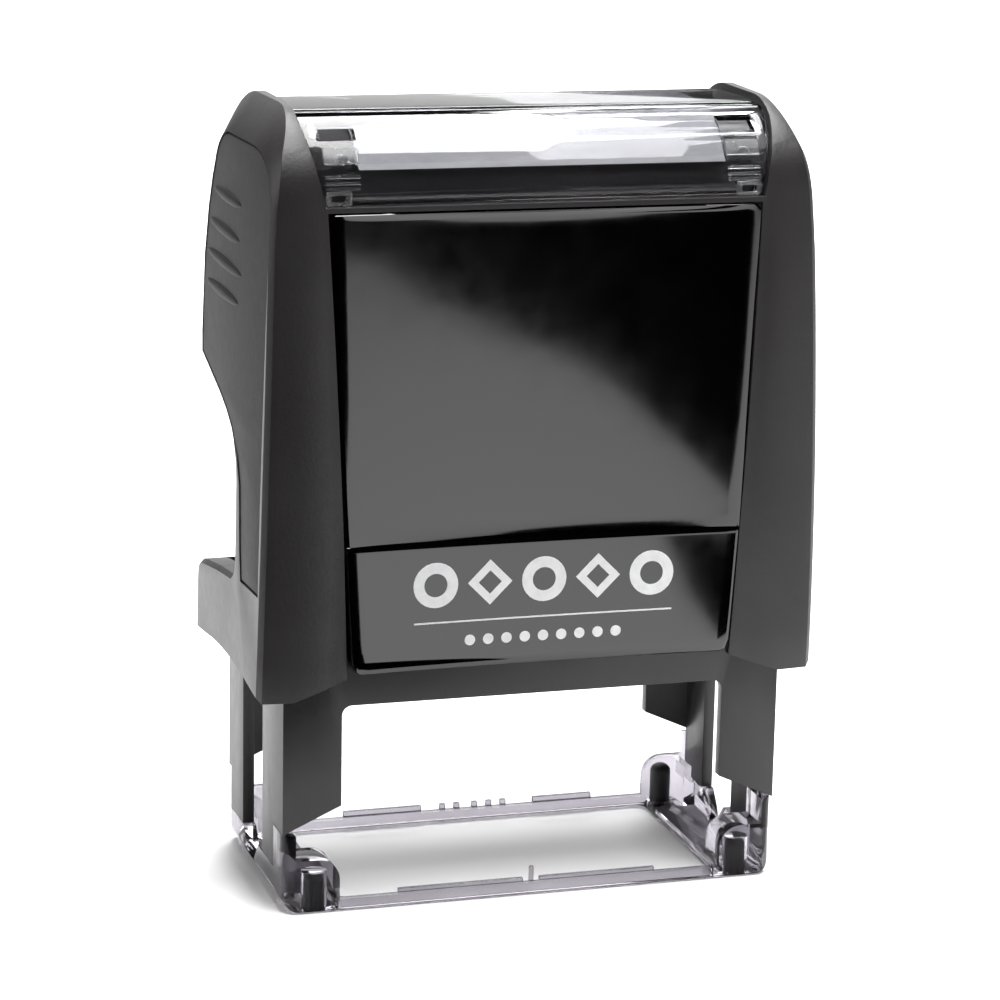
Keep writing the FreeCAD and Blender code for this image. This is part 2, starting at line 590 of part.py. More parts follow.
def make_cap_housing():
    body = new_body("cap_housing")
    far = d.cap_foot_half_width + 1
    pad(body, "cap_side_profile", "YZ", cap_profile(), (-far, far))
    pocket(body, "cap_taper", "XZ", both_sides(side_taper(Size(0))), (Size(-20), Size(20)))
    cavity = rectangle(-d.cavity_half_width, d.cavity_half_width, -d.cavity_half_depth, d.cavity_half_depth)
    pocket(body, "cap_cavity", "XY", cavity, (d.cap_belly - 2, d.shoulder_top + 5))
    upper = rectangle(-d.cavity_half_width, d.cavity_half_width, d.cavity_upper_front, d.cavity_upper_rear)
    pocket(body, "cap_upper_cavity", "XY", upper, (d.shoulder_top + 4, d.panel_top - 0.5))
    bed = d.cap_top - d.cover_top + d.cover_wall + d.card_thickness + 0.3
    inner_crown = crown_arcs(bed + d.bed_wall)
    loft_floor = d.round_start - 7.3
    loft = [(inner_crown[0][0], loft_floor)] + inner_crown + [(inner_crown[3][0], loft_floor)]
    pocket(body, "cap_loft", "YZ", loft, (-d.loft_half_width, d.loft_half_width))
    cover_bay = crown_shell(Size(-2), bed, d.round_start - 0.2)
    pocket(body, "cap_cover_bay", "YZ", cover_bay, (-d.cover_half_low - 0.1, d.cover_half_low + 0.1))
    pocket(body, "cap_front_opening", "XZ", panel_outline(d.seam, d.panel_bottom - 4),
           (d.label_front - 1.6, d.cavity_upper_front + 0.5))
    pocket(body, "cap_front_lip", "XZ", lip_outline(), (d.label_front - 1.6, d.cavity_upper_front + 0.3))
    behind = d.cap_rear_block + 1.6
    rear_opening = rectangle(-d.rear_open_half, d.rear_open_half, d.rear_open_bottom, d.rear_open_top)
    pocket(body, "cap_rear_opening", "XZ", rear_opening, (Size(8.0), behind))
    window_half = d.rear_panel_half + d.seam
    rear_window = rectangle(-window_half, window_half, d.rear_open_top - 0.8, d.round_start - 1.6)
    pocket(body, "cap_rear_window", "XZ", rear_window, (Size(11.0), behind))
    pocket(body, "cap_grip_recess_right", "YZ", grip_outline(Size(0)), (d.grip_floor, far))
    pocket(body, "cap_grip_recess_left", "YZ", grip_outline(Size(0)), (-far, -d.grip_floor))
    inside = d.cavity_half_depth - 0.6
    hole = button_outline(d.seam)
    pocket(body, "cap_button_hole", "XZ", hole, (inside, d.cap_rear_block + 0.6))
    flange = button_outline(d.seam + d.flange_width)
    pocket(body, "cap_button_flange", "XZ", flange, (inside, d.button_seat + d.flange_depth + 0.1))
    return body


def lip_outline():
    """What is cut away under the cap's front edge, which rises from each corner to the label plate."""
    below = d.cap_bottom - 2.5
    corner = d.cap_bottom - 0.2
    rise = d.cap_bottom + 1.5
    plate = d.panel_bottom - 0.2
    half = d.cap_foot_half_width
    low_half = d.panel_half_low
    right = [(half, below), (half, corner), (half - 3.15, corner), (low_half + 1.2, rise),
             (low_half - 0.7, plate)]
    return right + [(-x, z) for x, z in reversed(right)]


def button_outline(margin):
    """The lock button seen along Y, grown all round by margin."""
    half = d.button_half_width + margin
    return rectangle(-half, half, d.button_bottom - margin, d.button_top + margin)


def make_front_panel():
    """The flat label plate with the hollow panel over it, and a ledge between them."""
    body = new_body("front_panel")
    back = d.cavity_upper_front
    side = [(back, d.panel_top), (d.cap_front_high - 0.15, d.panel_top), (d.label_front + 0.1, d.panel_step),
            (d.label_front, d.panel_step), (d.label_front, d.panel_bottom), (back, d.panel_bottom)]
    pad(body, "panel_side_profile", "YZ", side, (-d.panel_half_top - 1, d.panel_half_top + 1))
    far = d.cap_foot_half_width
    frame = rectangle(-far, far, d.panel_bottom - 5, d.panel_top + 5)
    outline = panel_outline(Size(0), d.panel_bottom)
    pocket(body, "panel_trim", "XZ", [frame, outline], (d.label_front - 1, back + 1))
    half = d.panel_half_step - 1.2
    chord_y = d.label_front + 0.05
    radius = (half * half + d.panel_hollow * d.panel_hollow) / (d.panel_hollow * 2)
    hollow = [(-half, chord_y - 1), (half, chord_y - 1), (half, chord_y, radius), (-half, chord_y)]
    pocket(body, "panel_hollow", "XY", hollow, (d.panel_step, d.panel_top - 0.8))
    return body


def make_rear_panel():
    body = new_body("rear_panel")
    half = d.rear_panel_half
    outline = rounded_rectangle(-half, half, d.rear_panel_bottom, d.round_start - 1.7, Size(1.0))
    pad(body, "rear_panel_plate", "XZ", outline, (d.cavity_upper_rear, d.cap_rear_high - 0.05))
    return body


def make_clear_cover():
    body = new_body("clear_cover")
    inset = d.cap_top - d.cover_top
    shell = crown_shell(inset, inset + d.cover_wall, d.round_start - 0.15)
    pad(body, "cover_shell", "YZ", shell, (-d.cover_half_low, d.cover_half_low))
    notch = rectangle(Size(18.8), Size(21.6), d.round_start + 0.7, d.round_start + 1.8)
    pocket(body, "cover_snap_windows", "XZ", both_sides(notch), (Size(-15), Size(-10)))
    return body


def make_index_card():
    body = new_body("index_card")
    inset = d.cap_top - d.cover_top + d.cover_wall + 0.1
    shell = crown_shell(inset, inset + d.card_thickness, d.round_start - 0.1)
    half = d.card_half_width
    pad(body, "card_sheet", "YZ", shell, (-half, half))
    around = rectangle(-half - 1, half + 1, -half - 1, half + 1)
    pocket(body, "card_ends", "XY", around, (d.round_start - 1, d.card_bottom))
    return body


def make_side_grip(side):
    body = new_body(side + "_grip")
    far = d.cap_foot_half_width + 1
    span = (d.grip_floor, far) if side == "right" else (-far, -d.grip_floor)
    pad(body, side + "_grip_plate", "YZ", grip_outline(d.seam), span)
    taper = side_taper(Size(0)) if side == "right" else mirrored(side_taper(Size(0)))
    pocket(body, side + "_grip_taper", "XZ", taper, (Size(-20), Size(20)))
    return body


def make_bow():
    body = new_body("carrier_bow")
    low = d.axle_height - 3.4
    half = d.arm_half_depth
    outer = d.arm_outer
    inner = d.arm_inner
    outline = [(inner, low), (outer, low), (outer, d.bow_top), (-outer, d.bow_top), (-outer, low),
               (-inner, low), (-inner, d.bow_seat), (inner, d.bow_seat)]
    pad(body, "bow_arch", "XZ", outline, (-half, half))
    pad(body, "bow_seat_plate", "XY", circle(0, 0, d.seat_radius), (d.bow_seat, d.bow_top))
    pocket(body, "bow_axle_bores", "YZ", circle(0, d.axle_height, d.axle_radius), (-outer - 1, outer + 1))
    return body


def make_axle_pin(side):
    body = new_body(side + "_axle_pin")
    tip = d.pin_tip
    head_radius = d.pin_head_radius
    radius = d.axle_radius
    outline = [(tip, Size(0)), (d.pin_head, Size(0)), (d.pin_head, head_radius), (d.arm_outer, head_radius),
               (d.arm_outer, radius), (tip + 0.4, radius), (tip, radius - 0.4)]
    if side == "left":
        outline = mirrored(outline)
    revolve_about_x(body, side + "_pin", outline)
    body.Placement.Base = FreeCAD.Vector(0, 0, d.axle_height.value)
    bind(body, "Placement.Base.z", d.axle_height)
    return body


def make_lock_button():
    body = new_body("lock_button")
    seat = d.button_seat
    pad(body, "button_head", "XZ", button_outline(Size(0)), (seat, d.button_face))
    pad(body, "button_flange", "XZ", button_outline(d.flange_width - 0.1), (seat, seat + d.flange_depth))
    return body


# The platen, which turns about its pins.

def make_platen():
    body = new_body("platen")
    length = d.platen_half_length
    depth = d.platen_half_depth
    back = d.axle_height - d.platen_back
    face = d.axle_height + d.platen_face
    plate = rounded_rectangle(-length, length, -depth, depth, Size(0.8))
    pad(body, "platen_plate", "XY", plate, (back, face))
    hub = circle(0, d.axle_height, d.hub_radius)
    pad(body, "platen_hub_right", "YZ", hub, (d.hub_root, d.hub_end))
    pad(body, "platen_hub_left", "YZ", hub, (-d.hub_end, -d.hub_root))
    pocket(body, "platen_face_trim", "XY", rectangle(-length, length, -depth, depth), (face, face + 4))
    bore = circle(0, d.axle_height, d.axle_radius + d.axle_clearance)
    pocket(body, "platen_bore_right", "YZ", bore, (d.pin_tip - 0.3, d.hub_end + 0.4))
    pocket(body, "platen_bore_left", "YZ", bore, (-d.hub_end - 0.4, 0.3 - d.pin_tip))
    grooves = [rectangle(Size(-15), Size(15), Size(y - 1.2), Size(y + 1.2)) for y in (-5.2, 0.0, 5.2)]
    pocket(body, "platen_back_grooves", "XY", grooves, (back - 1, back + 1.2))
    return body


def make_die_foam():
    body = new_body("die_foam")
    bottom = d.axle_height + d.platen_face
    half = d.die_half_length
    depth = d.die_half_depth
    pad(body, "foam_sheet", "XY", rounded_rectangle(-half, half, -depth, depth, Size(0.5)),
        (bottom, bottom + d.foam_thickness))
    return body


def make_rubber_die():
    """The die: a base sheet with a raised border and four plain bars."""
    body = new_body("rubber_die")
    bottom = d.axle_height + d.platen_face + d.foam_thickness
    top = bottom + d.die_base
    half = d.die_half_length
    depth = d.die_half_depth
    pad(body, "die_sheet", "XY", rounded_rectangle(-half, half, -depth, depth, Size(0.5)), (bottom, top))
    border = [rounded_rectangle(-half + 0.6, half - 0.6, -depth + 0.6, depth - 0.6, Size(1.2)),
              rounded_rectangle(-half + 1.4, half - 1.4, -depth + 1.4, depth - 1.4, Size(0.8))]
    bars = [rectangle(Size(-14), Size(reach), Size(y - 0.6), Size(y + 0.6))
            for y, reach in ((-3.9, 9.0), (-1.3, 14.0), (1.3, 4.0), (3.9, 14.0))]
    pad(body, "die_relief", "XY", border + bars, (top - 0.2, top + d.die_relief))
    return body


def make_return_spring():
    """A compression spring between the frame's deck and the bow; its wire has twelve fine flats."""
    margin = d.spring_wire + 0.1
    height = d.bow_seat - d.deck_top - margin * 2
    helix = doc.addObject("Part::Helix", "spring_helix")
    bind(helix, "Radius", d.spring_radius)
    bind(helix, "Height", height)
    bind(helix, "Pitch", height / d.spring_turns)
    bind(helix, "Placement.Base.z", d.deck_top + margin)
    section = doc.addObject("Part::RegularPolygon", "spring_section")
    section.Polygon = 12
    bind(section, "Circumradius", d.spring_wire)
    section.Placement.Rotation = FreeCAD.Rotation(FreeCAD.Vector(1, 0, 0), 90)
    bind(section, "Placement.Base.x", d.spring_radius)
    bind(section, "Placement.Base.z", d.deck_top + margin)
    spring = doc.addObject("Part::Sweep", "return_spring")
    spring.Label = "return_spring"
    spring.Sections = [section]
    spring.Spine = (helix, ["Edge1"])
    spring.Solid = True
    spring.Frenet = True
    return spring


def make_all():
    parts = [make_foot(), make_inner_frame()]
    parts += [make_plug(label, place) for label, place in PLUG_PLACES.items()]
    parts += [make_cartridge_tray(), make_ink_pad()]
    parts += [make_cap_housing(), make_front_panel(), make_rear_panel()]
    parts += [make_clear_cover(), make_index_card()]
    parts += [make_side_grip(side) for side in ("left", "right")]
    parts += [make_bow(), make_lock_button()]
    parts += [make_axle_pin(side) for side in ("left", "right")]
    parts += [make_platen(), make_die_foam(), make_rubber_die(), make_return_spring()]
    return parts


def check_travel():
    """Stop if the die would go through the table, or if the lock button would miss its notch."""
    sole = d.axle_height - d.platen_face - d.foam_thickness - d.die_base - d.die_relief
    if (sole - d.stroke).value < 0:
        raise RuntimeError("the die would go through the table")
    if (d.button_seat - d.button_travel).value > d.leg_half_depth.value:
        raise RuntimeError("the lock button would not reach the frame")


def check(parts):
    """Stop at any failed feature, empty pocket or bad shape."""
    for item in doc.Objects:
        if "Invalid" in item.State or "Error" in item.State:
            raise RuntimeError("%s failed: %s" % (item.Name, item.State))
        if item.TypeId == "PartDesign::Pocket" and item.BaseFeature.Shape.Volume - item.Shape.Volume < 0.01:
            raise RuntimeError("%s cuts nothing" % item.Name)
    for part in parts:
        if part.Shape.isNull() or not part.Shape.isValid() or part.Shape.Volume <= 0:
            raise RuntimeError("%s has no valid solid" % part.Label)
        if len(part.Shape.Solids) != 1:
            raise RuntimeError("%s is %d solids" % (part.Label, len(part.Shape.Solids)))


def main():
    parts = make_all()
    doc.recompute()
    check(parts)
    check_travel()
    os.makedirs("parts", exist_ok=True)
    for part in parts:
        part.Shape.exportStep("parts/%s.step" % part.Label)
        box = part.Shape.BoundBox
        print("%-24s %8.1f mm3  x %6.2f %6.2f  y %6.2f %6.2f  z %6.2f %6.2f" % (
            part.Label, part.Shape.Volume, box.XMin, box.XMax, box.YMin, box.YMax, box.ZMin, box.ZMax))


main()
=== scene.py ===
"""Looks of the self-inking stamp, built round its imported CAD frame.

Shapes are worked out in millimetres in the frame's axes: +X to the right, -Y towards the front panel, +Z up.
"""

import math

import bmesh
import bpy
from mathutils import Matrix, Vector


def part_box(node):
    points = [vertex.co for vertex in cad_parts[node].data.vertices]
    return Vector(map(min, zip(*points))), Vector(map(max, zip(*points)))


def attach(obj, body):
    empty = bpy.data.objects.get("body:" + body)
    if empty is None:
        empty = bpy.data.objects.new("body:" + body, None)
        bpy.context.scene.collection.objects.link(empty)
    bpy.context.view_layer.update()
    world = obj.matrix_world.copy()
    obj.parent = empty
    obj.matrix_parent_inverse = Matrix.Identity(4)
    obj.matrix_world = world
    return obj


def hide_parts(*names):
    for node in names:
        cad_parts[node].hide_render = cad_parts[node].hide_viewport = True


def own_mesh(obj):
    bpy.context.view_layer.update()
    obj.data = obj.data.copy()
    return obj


MM = 0.001
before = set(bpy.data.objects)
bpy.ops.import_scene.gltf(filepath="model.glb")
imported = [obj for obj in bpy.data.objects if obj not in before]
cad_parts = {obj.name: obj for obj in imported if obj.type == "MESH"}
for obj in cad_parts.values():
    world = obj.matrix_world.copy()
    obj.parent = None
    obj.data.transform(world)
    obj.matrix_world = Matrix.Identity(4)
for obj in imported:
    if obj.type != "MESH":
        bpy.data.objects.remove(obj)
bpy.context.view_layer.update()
scene = bpy.context.scene


def box_mm(node):
    """A CAD node's lowest and highest corner, in millimetres."""
    low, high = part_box(node)
    return low / MM, high / MM


CAP_LOW, CAP_HIGH = box_mm("cap_housing")
PANEL_LOW, PANEL_HIGH = box_mm("front_panel")
COVER_LOW, COVER_HIGH = box_mm("clear_cover")
CARD_LOW, CARD_HIGH = box_mm("index_card")
GRIP_LOW, GRIP_HIGH = box_mm("left_grip")
FOOT_LOW, FOOT_HIGH = box_mm("foot")
PAD_LOW, PAD_HIGH = box_mm("ink_pad")
SPRING_LOW, SPRING_HIGH = box_mm("return_spring")
BOW_LOW, BOW_HIGH = box_mm("carrier_bow")
REAR_LOW, REAR_HIGH = box_mm("rear_panel")


# ---------------------------------------------------------------- materials

class Nodes:
    """Small helper that builds one node material."""

    def __init__(self, name):
        self.material = bpy.data.materials.new(name)
        self.material.use_nodes = True
        self.tree = self.material.node_tree
        self.shader = self.tree.nodes["Principled BSDF"]
        coordinates = self.tree.nodes.new("ShaderNodeTexCoord")
        self.place = coordinates.outputs["Object"]

    def link(self, source, target):
        self.tree.links.new(source, target)

    def set(self, **values):
        for name, value in values.items():
            self.shader.inputs[name.replace("_", " ")].default_value = value

    def noise(self, scale, detail=3.0, stretch=None, roughness=0.6):
        node = self.tree.nodes.new("ShaderNodeTexNoise")
        node.inputs["Scale"].default_value = scale
        node.inputs["Detail"].default_value = detail
        node.inputs["Roughness"].default_value = roughness
        self.link(self.stretched(stretch), node.inputs["Vector"])
        return node.outputs["Fac"]

    def stretched(self, stretch):
        if stretch is None:
            return self.place
        mapping = self.tree.nodes.new("ShaderNodeMapping")
        mapping.inputs["Scale"].default_value = stretch
        self.link(self.place, mapping.inputs["Vector"])
        return mapping.outputs["Vector"]

    def waves(self, scale, direction, distortion=0.0):
        node = self.tree.nodes.new("ShaderNodeTexWave")
        node.bands_direction = direction
        node.inputs["Scale"].default_value = scale
        node.inputs["Distortion"].default_value = distortion
        self.link(self.place, node.inputs["Vector"])
        return node.outputs["Fac"]

    def cells(self, scale):
        node = self.tree.nodes.new("ShaderNodeTexVoronoi")
        node.inputs["Scale"].default_value = scale
        self.link(self.place, node.inputs["Vector"])
        return node.outputs["Distance"]

    def ramp(self, source, *stops):
        """Colours or greys at places along 0 to 1."""
        node = self.tree.nodes.new("ShaderNodeValToRGB")
        points = node.color_ramp.elements
        while len(points) < len(stops):
            points.new(0.5)
        for point, (place, colour) in zip(points, stops):
            point.position = place
            grey = isinstance(colour, (int, float))
            point.color = (colour, colour, colour, 1) if grey else (*colour, 1)
        self.link(source, node.inputs["Fac"])
        return node.outputs["Color"]

    def math(self, operation, first, second):
        node = self.tree.nodes.new("ShaderNodeMath")
        node.operation = operation
        for socket, value in zip(node.inputs, (first, second)):
            if isinstance(value, (int, float)):
                socket.default_value = value
            else:
                self.link(value, socket)
        return node.outputs["Value"]

    def colour(self, source, *stops):
        self.link(self.ramp(source, *stops), self.shader.inputs["Base Color"])

    def roughness(self, source, low, high):
        self.link(self.ramp(source, (0.3, low), (0.7, high)), self.shader.inputs["Roughness"])

    def bump(self, source, strength, distance):
        node = self.tree.nodes.new("ShaderNodeBump")
        node.inputs["Strength"].default_value = strength
        node.inputs["Distance"].default_value = distance
        self.link(source, node.inputs["Height"])
        self.link(node.outputs["Normal"], self.shader.inputs["Normal"])


def plastic(name, dark, light, rough, grain, strength, sheen=0.5):
    """Moulded plastic: spark-eroded grain, and a colour and sheen that vary a little."""
    m = Nodes(name)
    m.colour(m.noise(90.0, 4.0), (0.3, dark), (0.7, light))
    m.roughness(m.noise(700.0), rough - 0.02, rough + 0.02)
    m.bump(m.noise(grain, 2.0), strength, 0.00006)
    m.set(Specular_IOR_Level=sheen)
    return m.material


def gloss_plastic(name):
    """Polished black plastic with faint hairlines."""
    m = Nodes(name)
    m.colour(m.noise(60.0), (0.3, (0.0002, 0.0002, 0.0002)), (0.7, (0.0004, 0.0003, 0.0004)))
    m.roughness(m.noise(300.0, 2.0), 0.05, 0.07)
    m.bump(m.noise(12.0, 1.0), 0.02, 0.0001)
    m.set(IOR=1.64)
    return m.material


def clear_plastic(name, tint, deep, rough, bending):
    """See-through styrene, with slight flow lines and handling haze."""
    m = Nodes(name)
    m.colour(m.noise(45.0, 2.0), (0.35, deep), (0.65, tint))
    m.roughness(m.noise(320.0), rough, rough + 0.05)
    m.bump(m.noise(70.0, 2.0, (0.4, 1.0, 1.6)), 0.08, 0.0002)
    m.set(Transmission_Weight=1.0, IOR=bending)
    return m.material


def paper(name):
    m = Nodes(name)
    # The grey is darker than the real white card: painted shade for the card that sits under the clear cover.
    m.colour(m.noise(1500.0, 4.0, (0.4, 1.0, 1.0)), (0.3, (0.36, 0.36, 0.37)), (0.7, (0.42, 0.42, 0.43)))
    m.roughness(m.noise(600.0), 0.5, 0.6)
    m.bump(m.noise(2600.0, 4.0, (0.3, 1.0, 1.0)), 0.2, 0.00005)
    return m.material


def rubber(name, dark, light):
    """Laser-cut rubber: fine scan lines and a dusty surface."""
    m = Nodes(name)
    m.colour(m.noise(500.0, 4.0), (0.3, dark), (0.75, light))
    m.roughness(m.noise(900.0), 0.6, 0.78)
    lines = m.waves(900.0, "X", 1.5)
    m.bump(m.math("ADD", lines, m.noise(2500.0)), 0.3, 0.00004)
    return m.material


def foam(name):
    m = Nodes(name)
    pores = m.cells(2200.0)
    # The colour is darkest at the bottoms of the pores that the bump makes: painted shade in the pores.
    m.colour(pores, (0.1, (0.012, 0.012, 0.014)), (0.6, (0.06, 0.06, 0.065)))
    m.roughness(m.noise(900.0), 0.85, 0.95)
    m.bump(pores, 0.8, 0.0002)
    return m.material


def felt(name):
    """The ink pad: a fine woven cover over felt, soaked with black ink."""
    m = Nodes(name)
    weave = m.math("MULTIPLY", m.waves(420.0, "X"), m.waves(420.0, "Y"))
    soak = m.noise(120.0, 4.0)
    # The colour is darker where the weave's bump sinks between the threads: painted shade; the soak pattern is the
    # ink's own uneven tone.
    m.colour(m.math("MULTIPLY", weave, soak), (0.05, (0.006, 0.006, 0.012)), (0.5, (0.03, 0.03, 0.05)))
    m.roughness(soak, 0.35, 0.8)
    m.bump(weave, 0.7, 0.0002)
    m.set(Sheen_Weight=0.3)
    return m.material


def steel(name):
    m = Nodes(name)
    m.colour(m.noise(700.0, 3.0), (0.3, (0.48, 0.47, 0.46)), (0.7, (0.66, 0.65, 0.64)))
    m.roughness(m.noise(1500.0, 2.0, (1.0, 1.0, 0.2)), 0.22, 0.38)
    m.bump(m.noise(3000.0, 2.0, (1.0, 1.0, 0.1)), 0.15, 0.00003)
    m.set(Metallic=1.0)
    return m.material


def printed(name):
    """White pad-printed paint on the glossy panel."""
    m = Nodes(name)
    m.colour(m.noise(900.0), (0.3, (0.78, 0.78, 0.79)), (0.7, (0.88, 0.88, 0.88)))
    m.roughness(m.noise(600.0), 0.35, 0.5)
    m.bump(m.noise(2500.0), 0.15, 0.00003)
    return m.material


CAP_BLACK = plastic("cap_black", (0.020, 0.018, 0.019), (0.026, 0.024, 0.025), 0.42, 2600.0, 0.35, 0.4)
FRAME_BLACK = plastic("frame_black", (0.022, 0.020, 0.020), (0.030, 0.028, 0.028), 0.40, 1800.0, 0.25, 0.4)
SOFT_BLACK = plastic("soft_black", (0.014, 0.013, 0.014), (0.020, 0.018, 0.020), 0.62, 3200.0, 0.5, 0.25)
BUTTON_GREY = plastic("button_grey", (0.10, 0.10, 0.105), (0.13, 0.13, 0.135), 0.45, 2200.0, 0.25)
PIN_GREY = plastic("pin_grey", (0.20, 0.20, 0.20), (0.26, 0.26, 0.26), 0.40, 2200.0, 0.2)
PLUG_BLACK = plastic("plug_black", (0.016, 0.015, 0.017), (0.024, 0.022, 0.025), 0.55, 2400.0, 0.3)
GLOSS_BLACK = gloss_plastic("gloss_black")
COVER_CLEAR = clear_plastic("cover_clear", (0.93, 0.93, 0.95), (0.86, 0.86, 0.89), 0.01, 1.49)
CLIP_CLEAR = clear_plastic("clip_clear", (0.95, 0.95, 0.96), (0.88, 0.88, 0.90), 0.25, 1.49)
FOOT_CLEAR = clear_plastic("foot_clear", (0.44, 0.42, 0.46), (0.36, 0.34, 0.38), 0.08, 1.24)
CARD_PAPER = paper("card_paper")
DIE_RUBBER = rubber("die_rubber", (0.10, 0.09, 0.09), (0.16, 0.15, 0.15))
DIE_FOAM = foam("die_foam")
PAD_FELT = felt("pad_felt")
SPRING_STEEL = steel("spring_steel")
WHITE_PRINT = printed("white_print")


# ---------------------------------------------------------------- mesh helpers

def arc(centre, radius, start, end, steps=10):
    """Points along an arc, between two angles in degrees."""
    angles = [math.radians(start + (end - start) * i / steps) for i in range(steps + 1)]
    return [(centre[0] + radius * math.cos(a), centre[1] + radius * math.sin(a)) for a in angles]


def bowed(start, end, sagitta, steps=8):
    """Points on a shallow bow from start to end; it bulges to the right of the way for a positive sagitta."""
    du, dv = end[0] - start[0], end[1] - start[1]
    length = math.hypot(du, dv)
    points = []
    for i in range(steps + 1):
        t = i / steps
        out = 4 * sagitta * t * (1 - t) / length
        points.append((start[0] + du * t + dv * out, start[1] + dv * t - du * out))
    return points


def rounded(u0, u1, v0, v1, radius, steps=6):
    """A rectangle with rounded corners."""
    r = radius
    return (arc((u1 - r, v0 + r), r, -90, 0, steps) + arc((u1 - r, v1 - r), r, 0, 90, steps)
            + arc((u0 + r, v1 - r), r, 90, 180, steps) + arc((u0 + r, v0 + r), r, 180, 270, steps))


AXES = {"X": lambda u, v, w: (w, u, v), "Y": lambda u, v, w: (u, w, v), "Z": lambda u, v, w: (u, v, w)}


def prism(bm, outline, axis, low, high):
    """Adds a closed block to bm: an outline carried along an axis."""
    at = AXES[axis]
    first = [bm.verts.new(at(u, v, low)) for u, v in outline]
    last = [bm.verts.new(at(u, v, high)) for u, v in outline]
    bm.faces.new(first)
    bm.faces.new(last)
    for i in range(len(outline)):
        j = (i + 1) % len(outline)
        bm.faces.new((first[i], first[j], last[j], last[i]))
    bmesh.ops.recalc_face_normals(bm, faces=bm.faces)
    return first + last


def rectangle(u0, u1, v0, v1):
    return [(u0, v0), (u1, v0), (u1, v1), (u0, v1)]


def lathe(bm, outline, centre, steps=32):
    """Adds a turned solid; the outline is (radius, height) from the bottom axis point to the top one."""
    rings = []
    for radius, height in outline:
        ring = [bm.verts.new((centre[0] + radius * math.cos(2 * math.pi * k / steps),
                              centre[1] + radius * math.sin(2 * math.pi * k / steps),
                              centre[2] + height)) for k in range(steps)]
        rings.append(ring)
    bm.faces.new(rings[0])
    bm.faces.new(rings[-1])
    for lower, upper in zip(rings, rings[1:]):
        for k in range(steps):
            j = (k + 1) % steps
            bm.faces.new((lower[k], lower[j], upper[j], upper[k]))
    bmesh.ops.recalc_face_normals(bm, faces=bm.faces)


def to_object(name, bm, smooth=35.0):
    """A new object in metres from a bmesh in millimetres."""
    bmesh.ops.scale(bm, vec=(MM, MM, MM), verts=bm.verts)
    mesh = bpy.data.meshes.new(name)
    bm.to_mesh(mesh)
    bm.free()
    obj = bpy.data.objects.new(name, mesh)
    scene.collection.objects.link(obj)
    shade(obj, smooth)
    return obj


def shade(obj, angle):
    obj.data.polygons.foreach_set("use_smooth", [True] * len(obj.data.polygons))
    obj.data.set_sharp_from_angle(angle=math.radians(angle))


def apply_modifiers(obj, smooth=35.0):
    """Turns what the modifiers make into the object's own mesh."""
    graph = bpy.context.evaluated_depsgraph_get()
    mesh = bpy.data.meshes.new_from_object(obj.evaluated_get(graph))
    obj.modifiers.clear()
    obj.data = mesh
    shade(obj, smooth)


def carve(obj, cutters):
    """Takes each cutter's closed mesh away from obj."""
    for cutter in cutters:
        modifier = obj.modifiers.new("carve", "BOOLEAN")
        modifier.operation = "DIFFERENCE"
        modifier.solver = "EXACT"
        modifier.object = cutter
        apply_modifiers(obj)
        bpy.data.objects.remove(cutter)


def cutter(outline, axis, low, high):
    bm = bmesh.new()
    prism(bm, outline, axis, low, high)
    return to_object("cutter", bm)


def band(bm, outer, inner, half, shares=(-1.0, 1.0)):
    """Adds a closed strip between two paths of (y, z) with equally many points; half gives x at a height."""
    loop = outer + inner[::-1]
    rings = [[bm.verts.new((share * half(z), y, z)) for y, z in loop] for share in shares]
    for first, second in zip(rings, rings[1:]):
        for i in range(len(loop)):
            j = (i + 1) % len(loop)
            bm.faces.new((first[i], first[j], second[j], second[i]))
    last = len(loop) - 1
    for ring in (rings[0], rings[-1]):
        for i in range(len(outer) - 1):
            bm.faces.new((ring[i], ring[i + 1], ring[last - i - 1], ring[last - i]))
    bmesh.ops.recalc_face_normals(bm, faces=bm.faces)


def tidy(obj, merge=0.002, flat=2.0):
    """Joins doubled corners and flat neighbours, so that a bevel has clean edges to work on."""
    bm = bmesh.new()
    bm.from_mesh(obj.data)
    bmesh.ops.remove_doubles(bm, verts=bm.verts, dist=merge * MM)
    bmesh.ops.dissolve_limit(bm, angle_limit=math.radians(flat), verts=bm.verts, edges=bm.edges)
    bmesh.ops.recalc_face_normals(bm, faces=bm.faces)
    bm.to_mesh(obj.data)
    bm.free()


def soften(obj, width, segments=2, angle=30.0, smooth=35.0):
    """Rounds every sharp edge by width, in millimetres."""
    modifier = obj.modifiers.new("soften", "BEVEL")
    modifier.width = width * MM
    modifier.segments = segments
    modifier.limit_method = "ANGLE"
    modifier.angle_limit = math.radians(angle)
    modifier.use_clamp_overlap = True
    modifier.harden_normals = False
    apply_modifiers(obj, smooth)


def finish_piece(obj, body, material, slot, *nodes):
    """Gives a piece its material and body, and hides the CAD nodes it stands for."""
    obj.data.materials.clear()
    obj.data.materials.append(material)
    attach(obj, body)
    if nodes:
        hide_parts(*nodes)
    return obj


def softened(node, body, material, slot, width, segments=2):
    """A copy of a CAD node with its sharp edges rounded."""
    obj = bpy.data.objects.new(node + "_soft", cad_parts[node].data.copy())
    scene.collection.objects.link(obj)
    tidy(obj, 0.001, 1.0)
    soften(obj, width, segments)
    return finish_piece(obj, body, material, slot, node)


# ---------------------------------------------------------------- the cap

